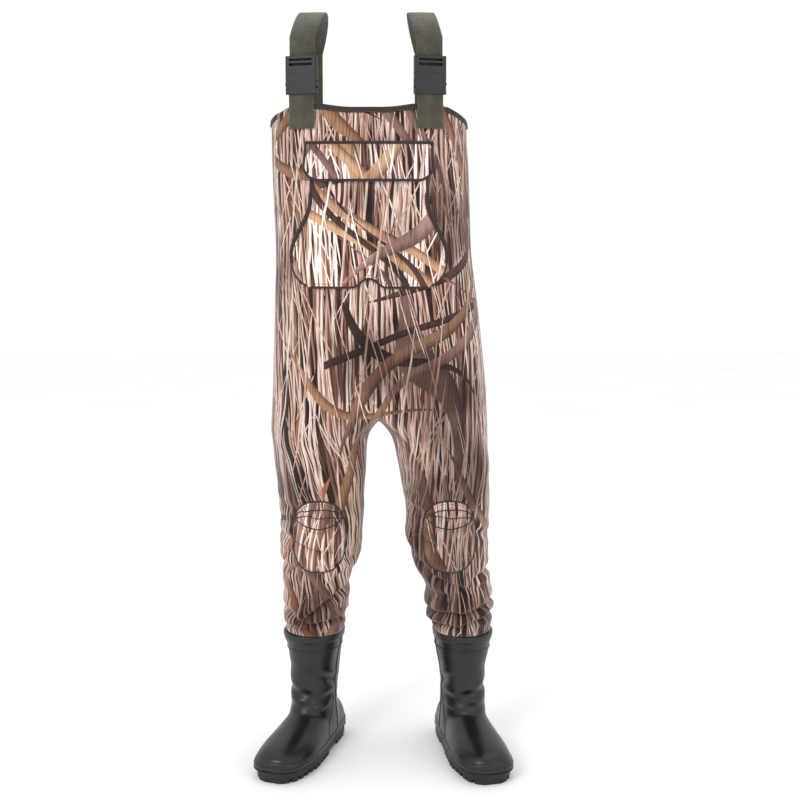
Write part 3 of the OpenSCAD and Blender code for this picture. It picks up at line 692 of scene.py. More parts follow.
def make_garment():
    """The sewn shell of the bib and both legs, folded and creased as worn."""
    verts, faces, rows, leg_rows = build_garment()
    table = cloth_places(verts, rows, leg_rows)
    corners, labels = [], []
    for quad, part, row, i in faces:
        up, down = table[part, row, i], table[part, row + 1, i]
        across = [up[0], down[0], down[1], up[1]]
        if part == "right":
            across = across[::-1]
        corners += list(zip(across, [verts[v][2] for v in quad]))
        labels.append(PARTS.index(part))
    obj = mesh_from("garment", verts, [f[0] for f in faces], corners)
    obj.data.polygons.foreach_set("material_index", labels)
    for _ in range(3):
        obj.data.materials.append(camo)
    final = crumple(obj)
    obj.vertex_groups.clear()
    obj.data.vertices.foreach_set("co", final.astype(np.float32).ravel())
    sub = obj.modifiers.new("sub", "SUBSURF")
    sub.levels = sub.render_levels = 1
    settle(obj)
    press_creases(obj)
    return thicken(obj, NEOPRENE)


def blend_at_knee(obj):
    """Bakes the piece's place into its mesh."""
    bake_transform(obj)


def keep_faces(obj, name, index):
    """A copy of the object with only the faces that carry this material index."""
    copy = obj.copy()
    copy.data = obj.data.copy()
    copy.name = copy.data.name = name
    bpy.context.scene.collection.objects.link(copy)
    bm = bmesh.new()
    bm.from_mesh(copy.data)
    bmesh.ops.delete(bm, geom=[f for f in bm.faces if f.material_index != index], context="FACES")
    for f in bm.faces:
        f.material_index = 0
    bm.to_mesh(copy.data)
    bm.free()
    return copy


garment = make_garment()
bib = keep_faces(garment, "bib_shell", PARTS.index("bib"))
legs = {side: keep_faces(garment, f"{side}_leg", PARTS.index(side)) for side in SIDES}
for piece in [bib] + list(legs.values()):
    piece.data.materials.clear()
    piece.data.materials.append(camo)
bpy.data.objects.remove(garment)
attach(bib, ROOT)
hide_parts("bib_front", "bib_back")
for side, leg in legs.items():
    blend_at_knee(leg)
    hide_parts(*(f"{side}_{n}" for n in LEG_NODES))


bib_skin = tree_over(bib)
leg_skin = {side: tree_over(leg) for side, leg in legs.items()}


def on_skin(tree, x, z, lift, way=1.0):
    """The point straight in front of (or behind, way -1) the cloth at x, z, raised by lift."""
    start = Vector((x, -0.6 * way, z))
    hit, normal = tree.ray_cast(start, Vector((0.0, way, 0.0)), 1.2)[:2]
    if hit is None:
        return None
    return hit + normal * lift


def bib_front_at(x, z, lift):
    """As on_skin, and above the bib's edge it carries on straight up."""
    for drop in np.arange(0.0, 0.12, 0.004):
        p = on_skin(bib_skin, x, z - drop, lift)
        if p is not None and p.y < BODY_Y:
            return Vector((p.x, p.y, z if drop else p.z))
    return Vector((x, BODY_Y, z))


# ---------------------------------------------------------------- small builders

def dress(obj, material, body, slot, *nodes):
    """Gives a piece its material, the body it rides on and the CAD nodes it stands for; slot is not used."""
    obj.data.materials.clear()
    obj.data.materials.append(material)
    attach(obj, body)
    if nodes:
        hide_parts(*nodes)
    return obj


def join_all(name, objs):
    """Several mesh objects as one."""
    bm = bmesh.new()
    for o in objs:
        bm.from_mesh(o.data)
    mesh = bpy.data.meshes.new(name)
    bm.to_mesh(mesh)
    bm.free()
    for o in objs:
        bpy.data.objects.remove(o)
    made = bpy.data.objects.new(name, mesh)
    mesh.polygons.foreach_set("use_smooth", [True] * len(mesh.polygons))
    bpy.context.scene.collection.objects.link(made)
    return made


def tube(name, points, radius, flat=1.0, closed=False, sides=10):
    """A round or flattened bead along a line; flat squashes it along Y."""
    points = [Vector(p) for p in points]
    count = len(points)
    verts = []
    for i, p in enumerate(points):
        a = points[(i - 1) % count] if closed or i else p
        b = points[(i + 1) % count] if closed or i < count - 1 else p
        along = (b - a).normalized()
        out = along.cross(Vector((0.0, 1.0, 0.0)))
        out = out.normalized() if out.length > 0.2 else along.cross(Vector((1.0, 0.0, 0.0))).normalized()
        up = along.cross(out).normalized()
        for k in range(sides):
            t = 2 * math.pi * k / sides
            verts.append(p + out * (radius * math.cos(t)) + up * (radius * flat * math.sin(t)))
    faces = [f[::-1] for f in grid_faces(count, sides, closed, True)]
    if not closed:
        faces.append(tuple(range(sides))[::-1])
        faces.append(tuple((count - 1) * sides + k for k in range(sides)))
    return mesh_from(name, verts, faces)


def even_line(points, step):
    """The same line with a point every step or so."""
    points = np.array([tuple(p) for p in points])
    length = np.linalg.norm(np.diff(points, axis=0), axis=1).sum()
    return [Vector(p) for p in resample(points, max(2, int(round(length / step)) + 1))]


STITCH_PITCH = 4.2 * MM
STITCH_LENGTH = 2.9 * MM
THREAD_RADIUS = 0.55 * MM
# Along one stitch: the place of each ring of points, and how thick it is there
STITCH_RINGS = [(-0.5, 0.35), (-0.25, 1.0), (0.25, 1.0), (0.5, 0.35)]
STITCH_SIDES = 6


def stitches(name, lines):
    """Rows of sunk thread, one short bead for each stitch."""
    verts, faces = [], []
    for line in lines:
        points = even_line(line, STITCH_PITCH)
        for a, b in zip(points, points[1:]):
            along = (b - a).normalized()
            side = along.cross(Vector((0.0, 1.0, 0.0))).normalized()
            up = side.cross(along).normalized()
            first = len(verts)
            for at, size in STITCH_RINGS:
                for k in range(STITCH_SIDES):
                    t = 2 * math.pi * k / STITCH_SIDES
                    verts.append((a + b) / 2 + along * (at * STITCH_LENGTH)
                                 + (side * math.cos(t) + up * math.sin(t)) * (THREAD_RADIUS * size))
            faces += [f[::-1] for f in grid_faces(len(STITCH_RINGS), STITCH_SIDES, False, True, first)]
            faces.append(tuple(first + k for k in range(STITCH_SIDES))[::-1])
            faces.append(tuple(len(verts) - STITCH_SIDES + k for k in range(STITCH_SIDES)))
    return mesh_from(name, verts, faces)


def panel(name, place, cols, rows, thickness):
    """A sheet of cloth over a grid; place(s, t) gives its front face, s across and t down."""
    verts = [place(c / cols, r / rows) for r in range(rows + 1) for c in range(cols + 1)]
    faces = grid_faces(rows + 1, cols + 1)
    corners = [(verts[v].x, verts[v].z) for quad in faces for v in quad]
    return thicken(mesh_from(name, verts, faces, corners), thickness)


def ribbon(name, path, width, thickness, crown=0.0):
    """Webbing along [(point, direction across)], with soft edges; its cloth coordinates run along it."""
    half = width / 2
    edge = thickness * 0.5
    shape = [(-half + edge, 1), (-half * 0.5, 1), (0, 1), (half * 0.5, 1), (half - edge, 1), (half, 0),
             (half - edge, -1), (half * 0.5, -1), (0, -1), (-half * 0.5, -1), (-half + edge, -1), (-half, 0)]
    verts, places = [], []
    travel = 0.0
    for i, (p, across) in enumerate(path):
        p, across = Vector(p), Vector(across).normalized()
        a = Vector(path[max(i - 1, 0)][0])
        b = Vector(path[min(i + 1, len(path) - 1)][0])
        along = (b - a).normalized()
        out = across.cross(along).normalized()
        if i:
            travel += (p - Vector(path[i - 1][0])).length
        places.append(travel)
        for x, y in shape:
            bow = crown * (1 - (x / half) ** 2)
            verts.append(p + across * x + out * (y * thickness / 2 + bow))
    n = len(shape)
    faces = grid_faces(len(path), n, False, True)
    faces.append(tuple(range(n)))
    faces.append(tuple(len(verts) - n + k for k in range(n))[::-1])
    corners = [(shape[v % n][0], places[v // n]) for face in faces for v in face]
    return mesh_from(name, verts, faces, corners)


def cad_look(node, material, bevel=0.0):
    """A CAD node that keeps its shape: its own material and, where it is moulded, softer edges."""
    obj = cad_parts[node]
    obj.data.materials.clear()
    obj.data.materials.append(material)
    for slot in obj.material_slots:
        slot.material = material
    if bevel:
        soft = obj.modifiers.new("soft_edges", "BEVEL")
        soft.width = bevel
        soft.segments = 3
        soft.limit_method = "ANGLE"


# ---------------------------------------------------------------- bib edge

def rim_loop(count=160):
    """Points round the bib's cut edge, each with the direction away from the body."""
    centre = Vector((*torso_centre(SIDE_EDGE_Z), 0.0))
    found = []
    for a in np.linspace(0.0, 2 * math.pi, count, endpoint=False):
        way = Vector((math.sin(a), -math.cos(a), 0.0))
        last = None
        for z in np.arange(1.225, 1.30, 0.0015):
            hit = bib_skin.ray_cast(Vector((centre.x, centre.y, z)) + way * 0.3, -way, 0.28)[0]
            if hit is None:
                break
            last = hit
        found.append((last, way))
    return found


def make_binding():
    """Tape folded over the top edge, 2 mm proud inside and out, with one row of stitches."""
    loop = rim_loop()
    n = len(loop)
    # Across the folded tape, from its outer edge to its inner one: mm out of the body and mm up
    fold = [(1.7, -8.5), (2.1, -5.0), (2.1, -1.0), (0.8, 1.6), (-2.3, 2.2), (-5.4, 1.6), (-6.8, -1.0),
            (-6.9, -5.0), (-6.5, -8.5)]
    heights = [sum(loop[(i + k) % n][0].z for k in range(-3, 4)) / 7 for i in range(n)]
    verts = [Vector((p.x, p.y, z + up * MM)) + way * (out * MM)
             for (p, way), z in zip(loop, heights) for out, up in fold]
    obj = mesh_from("top_binding_tape", verts, grid_faces(n, len(fold), rows_meet=True))
    dress(thicken(obj, 1 * MM), tape, ROOT, "dark_binding", "top_binding")
    line = [Vector((p.x, p.y, z - 6.6 * MM)) + way * (2.3 * MM) for (p, way), z in zip(loop, heights)]
    dress(stitches("binding_stitches", [line + line[:1]]), thread, ROOT, "olive_webbing")


make_binding()


# ---------------------------------------------------------------- pocket

POCKET_X = middle("flap_header").x
POUCH_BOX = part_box("pocket_pouch")
POUCH_TOP, POUCH_BOTTOM = POUCH_BOX[1][2], POUCH_BOX[0][2]
POUCH_HALF = (POUCH_BOX[1][0] - POUCH_BOX[0][0]) / 2
PIPING_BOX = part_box("flap_piping")
# Half the pouch's width above its slanted openings
NECK_HALF = 106 * MM
# Where the slanted openings start and end, as shares of the pouch's height
SLANT_TOP = POUCH_TOP - 0.28 * (POUCH_TOP - POUCH_BOTTOM)
SLANT_LOW = POUCH_TOP - 0.75 * (POUCH_TOP - POUCH_BOTTOM)
FLAP_TOP, FLAP_LOW = PIPING_BOX[1][2], PIPING_BOX[0][2]
FLAP_HALF = (PIPING_BOX[1][0] - PIPING_BOX[0][0]) / 2
CORNER = 26 * MM


def rounded_in(height, radius):
    """How far a rounded corner draws the side in, at this height above the lower edge."""
    if height >= radius:
        return 0.0
    return radius - math.sqrt(max(radius ** 2 - (radius - height) ** 2, 0.0))


def pouch_half(z):
    t = float(fade(SLANT_TOP - z, 0.0, SLANT_TOP - SLANT_LOW))
    return NECK_HALF + (POUCH_HALF - NECK_HALF) * t - rounded_in(z - POUCH_BOTTOM, 44 * MM)


def arch(x, t):
    """How far the small arch lifts the pouch's lower edge."""
    return 16 * MM * math.exp(-(abs(x - POCKET_X) / (19 * MM)) ** 2.8) * float(fade(t, 0.72, 1.0))


def pouch_at(s, t, out=0.0):
    """The pouch's face: s from -1 to 1 across, t from 0 at the top to 1 at the bottom."""
    z = POUCH_TOP + (POUCH_BOTTOM - POUCH_TOP) * t
    half = pouch_half(max(z, POUCH_BOTTOM + 1.5 * MM))
    x = POCKET_X + s * half
    gape = max(0.0, 1 - ((z - (SLANT_TOP + SLANT_LOW) / 2) / (58 * MM)) ** 2)
    full = (1 - abs(s) ** 2.4) * (1 - abs(2 * t - 1) ** 3)
    lift = 3.8 * MM + 7.5 * MM * full + 5 * MM * gape * abs(s) ** 4 + 1.2 * MM * (1 - abs(s) ** 6)
    return bib_front_at(x, z + arch(x, t), lift + out)


def lining_at(s, t):
    """The lining lies against the bib, just inside the pouch's outline."""
    z = POUCH_TOP + (POUCH_BOTTOM - POUCH_TOP) * t
    x = POCKET_X + s * (pouch_half(max(z, POUCH_BOTTOM + 3 * MM)) - 2 * MM)
    return bib_front_at(x, z + arch(x, t), 1.4 * MM)


def flap_at(s, t, out=0.0):
    z = FLAP_TOP + (FLAP_LOW - FLAP_TOP) * t
    half = FLAP_HALF - rounded_in(max(z - FLAP_LOW, 0.6 * MM), CORNER)
    sag = 0.8 * MM * math.sin(5.0 * s + 1.0) * t
    lift = 5.0 * MM + 10.5 * MM * float(fade(t, 0.0, 0.75)) + sag
    return bib_front_at(POCKET_X + s * half, z, lift + out)


def make_pouch():
    pouch = panel("pocket_pouch_panel", lambda s, t: pouch_at(2 * s - 1, t), 72, 60, 3.0 * MM)
    dress(pouch, camo_pocket, ROOT, "camo_patch_fabric", "pocket_pouch")
    lining = panel("pocket_lining_cloth", lambda s, t: lining_at(2 * s - 1, t), 60, 50, 1.0 * MM)
    dress(lining, camo_pocket, ROOT, "camo_patch_fabric", "pocket_lining")
    bottom = [pouch_at(s, 1.0, -0.6 * MM) for s in np.linspace(-1, 1, 90)]
    sides = []
    for sign in (-1, 1):
        whole = [pouch_at(sign, t, -0.8 * MM) for t in np.linspace(0.0, 0.985, 60)]
        sides.append(tube("side_piping", whole, 2.2 * MM, 0.9))
        slant = [pouch_at(sign, t, -0.4 * MM) for t in np.linspace(0.22, 0.80, 44)]
        sides.append(tube("slant_binding", slant, 4.4 * MM, 0.62, sides=14))
    piping = join_all("pocket_piping", [tube("bottom_piping", bottom, 2.3 * MM, 0.9)] + sides)
    dress(piping, tape, ROOT, "dark_binding", "pocket_binding")
    rows = [[pouch_at(s, 0.972, 0.3 * MM) for s in np.linspace(-0.93, 0.93, 80)]]
    for sign in (-1, 1):
        rows.append([pouch_at(sign * 0.955, t, 0.3 * MM) for t in np.linspace(0.24, 0.78, 40)])
    dress(stitches("pocket_stitches", rows), thread, ROOT, "dark_binding")


def make_flap():
    flap = panel("pocket_flap_panel", lambda s, t: flap_at(2 * s - 1, t), 64, 24, 3.2 * MM)
    flap.data.materials.clear()
    flap.data.materials.append(camo_flap)
    edge = [flap_at(-1, t, -1.4 * MM) for t in np.linspace(0.02, 0.97, 30)]
    edge += [flap_at(s, 1.0, -1.4 * MM) for s in np.linspace(-0.995, 0.995, 60)]
    edge += [flap_at(1, t, -1.4 * MM) for t in np.linspace(0.97, 0.02, 30)]
    piping = tube("flap_piping_bead", even_line(edge, 3 * MM), 2.7 * MM, sides=12)
    piping.data.materials.append(tape)
    for obj, name, node in ((flap, "camo_patch_fabric", "pocket_flap"),
                            (piping, "dark_binding", "flap_piping")):
        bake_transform(obj)
        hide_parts(node)
    head = [flap_at(s, 0.0, -0.6 * MM) + Vector((0, 0, 1.2 * MM)) for s in np.linspace(-1.008, 1.008, 70)]
    dress(tube("flap_head_piping", head, 2.9 * MM, sides=12), tape, ROOT, "dark_binding", "flap_header")


def make_strip(name, node, place, body):
    """One half of the hook and loop fastening."""
    low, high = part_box(node)
    x0, x1, z0, z1 = low[0], high[0], low[2], high[2]
    obj = panel(name, lambda s, t: place(x0 + (x1 - x0) * s, z1 + (z0 - z1) * t), 30, 6, 0.9 * MM)
    return dress(obj, hook_tape, body, "hook_and_loop", node)


def on_pouch(x, z):
    t = (z - POUCH_TOP) / (POUCH_BOTTOM - POUCH_TOP)
    return pouch_at((x - POCKET_X) / pouch_half(z), t, 0.9 * MM)


def under_flap(x, z):
    t = (z - FLAP_TOP) / (FLAP_LOW - FLAP_TOP)
    return flap_at((x - POCKET_X) / FLAP_HALF, t, -3.3 * MM)


make_pouch()
make_flap()
make_strip("loop_strip", "pocket_loop_strip", on_pouch, ROOT)
make_strip("hook_strip", "flap_hook_strip", under_flap, "flap")


# ---------------------------------------------------------------- straps and buckles

def across_at(x, z, way):
    """Level direction along the bib's face at x, pointing to the wearer's left."""
    a = on_skin(bib_skin, x - 17 * MM, z, 0.0, way)
    b = on_skin(bib_skin, x + 17 * MM, z, 0.0, way)
    return Vector((b.x - a.x, b.y - a.y, 0.0)).normalized()


# Heights on the bib where the straps' direction is taken, where the strap comes down onto the back, and
# where it starts to lie on the cloth
SLOPE_Z = 1.225
REST_Z = 1.235
EDGE_Z = 1.262
LIE_Z = 1.25
STRAP_W = 50 * MM


def make_strap(side, sign):
    """The strap from its plug over the shoulder to the back, the front tab, and the back's patch."""
    plug, rear = middle(f"{side}_buckle_plug"), middle(f"{side}_back_patch")
    low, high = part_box(f"{side}_strap")
    tab_low, tab_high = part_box(f"{side}_strap_tab")
    front_way = across_at(plug.x, SLOPE_Z, 1.0)
    back_way = across_at(rear.x, SLOPE_Z, -1.0)
    out = Vector((front_way.y, -front_way.x, 0.0))
    start = Vector((plug.x, plug.y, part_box(f"{side}_buckle_plug")[0][2] + 3 * MM)) - out * (3.5 * MM)
    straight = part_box(f"{side}_buckle_plug")[1][2] + 34 * MM
    end = on_skin(bib_skin, start.x, REST_Z, 5.5 * MM, -1.0)
    top = high[2] - 1.5 * MM
    path = [(start + Vector((0, 0, h)), front_way) for h in np.linspace(0, straight - start.z, 8)[:-1]]
    for a in np.linspace(0, math.pi, 34):
        lift = math.sin(a)
        point = Vector((start.x - sign * 16 * MM * lift, start.y + (end.y - start.y) * (1 - math.cos(a)) / 2,
                        straight + (top - straight) * lift))
        path.append((point, front_way.lerp(back_way, a / math.pi)))
    for h in np.linspace(straight, EDGE_Z, 8)[1:]:
        path.append((Vector((start.x, end.y, h)), back_way))
    for h in np.linspace(LIE_Z, low[2] + 4 * MM, 8):
        p = on_skin(bib_skin, start.x, h, 4.4 * MM, -1.0)
        path.append((Vector((start.x, p.y, h)), back_way))
    strap = ribbon(f"{side}_strap_webbing", path, STRAP_W, 2.3 * MM, 0.5 * MM)
    dress(strap, webbing, ROOT, "olive_webbing", f"{side}_strap")

    x = middle(f"{side}_strap_tab").x
    tab = [(bib_front_at(x, z, 3.4 * MM), front_way)
           for z in np.linspace(tab_low[2], tab_high[2] + 5 * MM, 18)]
    tab = ribbon(f"{side}_tab_webbing", tab, STRAP_W - 1 * MM, 2.6 * MM, 0.4 * MM)
    dress(tab, webbing, ROOT, "olive_webbing", f"{side}_strap_tab")

    # The tab is sewn down with a square and a cross
    def sewn(u, z):
        return bib_front_at(x, z, 3.4 * MM) + front_way * u + out * (1.7 * MM)

    rows = []
    z0, z1 = tab_low[2] + 3 * MM, tab_low[2] + 34 * MM
    half = 21.5 * MM
    for a, b in (((-half, z0), (half, z0)), ((half, z0), (half, z1)), ((half, z1), (-half, z1)),
                 ((-half, z1), (-half, z0)), ((-half, z0), (half, z1)), ((-half, z1), (half, z0))):
        rows.append([sewn(a[0] + (b[0] - a[0]) * t, a[1] + (b[1] - a[1]) * t) for t in np.linspace(0, 1, 12)])
    dress(stitches(f"{side}_tab_stitches", rows), thread, ROOT, "olive_webbing")

    low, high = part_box(f"{side}_back_patch")
    patch = panel(f"{side}_back_patch_cloth", lambda s, t: on_skin(
        bib_skin, high[0] + (low[0] - high[0]) * s, high[2] - 5 * MM + (low[2] - high[2] + 5 * MM) * t,
        2.4 * MM, -1.0), 20, 22, 1.8 * MM)
    dress(patch, webbing, ROOT, "olive_webbing", f"{side}_back_patch")


for side, sign in SIDES.items():
    make_strap(side, sign)
    for part in ("buckle_socket", "buckle_plug", "prong_outer", "prong_inner"):
        cad_look(f"{side}_{part}", acetal, 0.5 * MM)
    cad_look(f"{side}_side_seam_tape", tape)
    cad_look(f"{side}_insole", felt)
    cad_look(f"{side}_outsole", rubber_sole, 0.8 * MM)
    cad_look(f"{side}_heel_block", rubber_sole, 0.8 * MM)


# ---------------------------------------------------------------- knee pads

# The raised lens across the patch's top: its middle and half height, as shares of the patch's half height
LENS_V = 0.50
LENS_HALF = 0.27
# How far across the lens and the darts reach, as a share of the patch's half width
LENS_REACH = 0.86
PATCH_POWER = 2.6


def make_knee(side):
    """A foam-filled patch, sewn round its edge, with a raised lens-shaped dart across its top."""
    low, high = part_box(f"{side}_knee_pad")
    centre = middle(f"{side}_knee_pad")
    half_w, half_h = (high[0] - low[0]) / 2, (high[2] - low[2]) / 2

    def at(u, v, out=0.0):
        """u and v run over a disc; the patch is a rounded oval."""
        r = min(math.hypot(u, v), 1.0)
        a = math.atan2(v, u)
        square = (abs(math.cos(a)) ** PATCH_POWER + abs(math.sin(a)) ** PATCH_POWER) ** (-1 / PATCH_POWER)
        x = centre.x + r * math.cos(a) * square * half_w
        z = centre.z + r * math.sin(a) * square * half_h
        dome = 6.5 * MM * (1 - r ** 4) + 1.6 * MM * (1 - r ** 16)
        reach = max(0.0, 1 - (u / LENS_REACH) ** 2)
        dome += 4.2 * MM * math.exp(-((v - LENS_V) / (LENS_HALF * 0.8)) ** 4) * reach
        for level in (LENS_V + LENS_HALF * reach, LENS_V - LENS_HALF * reach, LENS_V + 0.04 - 0.1 * u * u):
            dome -= 2.6 * MM * math.exp(-((v - level) / 0.05) ** 2) * reach
        dome -= 3.6 * MM * math.exp(-((v + 0.42 + 0.3 * u) / 0.13) ** 2) * (1 - r ** 4)
        return on_skin(leg_skin[side], x, z, 0.4 * MM + dome + out)

    rings, spokes = 26, 72
    verts = [at(0, 0)]
    for r in range(1, rings + 1):
        for k in range(spokes):
            a = 2 * math.pi * k / spokes
            verts.append(at(r / rings * math.cos(a), r / rings * math.sin(a)))
    faces = [(0, 1 + k, 1 + (k + 1) % spokes) for k in range(spokes)]
    faces += grid_faces(rings, spokes, False, True, 1)
    corners = [(verts[v].x, verts[v].z) for f in faces for v in f]
    pad = thicken(mesh_from(f"{side}_knee_patch", verts, faces, corners), 1.6 * MM)
    if pad.data.polygons[0].normal.y > 0:
        pad.data.flip_normals()
    pad.data.materials.clear()
    pad.data.materials.append(camo_knee)

    def round_at(share, out):
        """A line round the patch, at this share of its size."""
        return [at(share * math.cos(a), share * math.sin(a), out) for a in np.linspace(0, 2 * math.pi, 90)]

    def over(shift, bow, out):
        """A line across the lens: bow 1 is its upper edge and -1 its lower one."""
        return [at(u, LENS_V + shift + bow * LENS_HALF * (1 - (u / LENS_REACH) ** 2), out)
                for u in np.linspace(-LENS_REACH, LENS_REACH, 44)]

    fold = [at(u, LENS_V + 0.04 - 0.1 * u * u, 0.9 * MM) for u in np.linspace(-LENS_REACH, LENS_REACH, 44)]
    beads = [tube("edge", even_line(round_at(1.0, 0.6 * MM), 3 * MM)[:-1], 1.3 * MM, closed=True, sides=8)]
    for line, radius in ((over(0, 1, 0.7 * MM), 1.0), (over(0, -1, 0.7 * MM), 1.0), (fold, 0.8)):
        beads.append(tube("dart", even_line(line, 2.5 * MM), radius * MM, sides=8))
    seam = join_all(f"{side}_knee_seam", beads)
    seam.data.materials.append(tape)
    sewing = stitches(f"{side}_knee_stitches", [round_at(0.93, 0.3 * MM), over(-0.09, -1, 0.4 * MM)])
    sewing.data.materials.append(thread)
    for obj, name in ((pad, "camo_patch_fabric"), (seam, "dark_binding"), (sewing, "olive_webbing")):
        blend_at_knee(obj)
    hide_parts(f"{side}_knee_pad", f"{side}_knee_foam")


for side in SIDES:
    make_knee(side)


# ---------------------------------------------------------------- boots

TOE_OUT = {"right": 20, "left": 14}
# Heights of the shaft's stations, in mm: height, middle along Y, half width, half depth. The first two are at
# the top edge and the last at the sole.
SHAFT_TOP = [(12, -4, 58, 67), (-6, -4, 58, 67)]
SHAFT = [(200, 0, 51, 64), (150, -2, 44, 60), (112, -6, 42, 61), (76, -8, 43, 70), (46, -8, 44, 74)]
SHAFT_FOOT = (-4, -8, 43, 72)
# The foot's stations from the heel to the toe, in mm: place along Y, half width, height, roundness
FOOT = [(86, 20, 44, 2.4), (79, 31, 62, 2.5), (62, 38, 84, 2.4), (20, 42, 100, 2.3), (-30, 46, 104, 2.2),
        (-62, 50, 90, 2.2), (-100, 54, 76, 2.3), (-140, 55, 66, 2.4), (-175, 51, 58, 2.5),
        (-197, 42, 51, 2.6), (-209, 27, 43, 2.6), (-213, 12, 36, 2.4)]
# Creases where the ankle bends, and slack in the shaft: height, slope, depth and half width in mm, then the
# angle round the boot of the crease's middle and its reach
BOOT_CREASES = [
    (124, 12, 3.8, 9, 0.1, 1.0), (107, -9, 3.0, 8, -0.4, 0.8), (146, 15, 3.2, 10, -1.3, 0.7),
    (134, -12, 1.8, 10, 1.5, 0.8), (172, 8, 1.0, 14, 0.5, 1.2), (92, 5, 1.6, 9, 0.0, 0.7),
]
# The middle of the boot's outline along Y, low down and in the shaft
FOOT_Y = -55 * MM
SHAFT_Y = -6 * MM
FOOT_TOP_Z = 85 * MM


def boot_places(side, sign):
    """The boot's own frame, in metres: its origin is under the ankle and the toe points along -Y."""
    cuff = middle(f"{side}_boot_cuff")
    turn = Matrix.Rotation(math.radians(sign * TOE_OUT[side]), 4, "Z")
    back = turn @ Vector((0.0, -4 * MM, 0.0))
    return Matrix.Translation((cuff.x - back.x, cuff.y - back.y, 0.0)) @ turn


def super_ring(half_w, half_d, power, count):
    out = []
    for k in range(count):
        t = 2 * math.pi * k / count
        c, s = math.cos(t), math.sin(t)
        out.append((half_w * math.copysign(abs(c) ** (2 / power), c),
                    half_d * math.copysign(abs(s) ** (2 / power), s)))
    return out


def closed_loft(name, loops):
    """A closed solid through loops of points, all with the same number of points."""
    n = len(loops[0])
    verts = [p for loop in loops for p in loop]
    faces = grid_faces(len(loops), n, False, True)
    faces += [tuple(range(n)), tuple(len(verts) - n + k for k in range(n))[::-1]]
    obj = mesh_from(name, verts, faces)
    bm = bmesh.new()
    bm.from_mesh(obj.data)
    bmesh.ops.recalc_face_normals(bm, faces=bm.faces)
    bm.to_mesh(obj.data)
    bm.free()
    return obj


def smooth_rows(rows, count):
    """Stations drawn through a smooth curve, count rows in all."""
    rows = np.array(rows, float)
    at = np.linspace(0, len(rows) - 1, count)
    out = []
    for t in at:
        i = int(min(t, len(rows) - 2))
        f = t - i
        p = [rows[max(i - 1, 0)], rows[i], rows[i + 1], rows[min(i + 2, len(rows) - 1)]]
        out.append(0.5 * (2 * p[1] + (p[2] - p[0]) * f + (2 * p[0] - 5 * p[1] + 4 * p[2] - p[3]) * f * f
                          + (3 * p[1] - p[0] - 3 * p[2] + p[3]) * f ** 3))
    return out


def boot_lofts(top, sole):
    """The shaft and the foot, as two solids that are then melted into one."""
    rows = [(top / MM + z, *rest) for z, *rest in SHAFT_TOP] + SHAFT
    rows.append((sole / MM + SHAFT_FOOT[0], *SHAFT_FOOT[1:]))
    loops = [[Vector((x, cy + y, z)) * MM for x, y in super_ring(w, d, 2.15, 48)]
             for z, cy, w, d in smooth_rows(rows, 40)]
    shaft = closed_loft("shaft", loops)
    loops = []
    for y, w, h, power in smooth_rows(FOOT, 56):
        loop = []
        for k in range(40):
            t = 2 * math.pi * k / 40
            c, s = math.cos(t), math.sin(t)
            x = w * math.copysign(abs(c) ** (2 / power), c)
            z = (h - sole / MM + 4 if s > 0 else -3.0) * abs(s) ** (2 / power)
            loop.append(Vector((x, y, sole / MM - 1 + z)) * MM)
        loops.append(loop)
    return [shaft, closed_loft("foot", loops)]


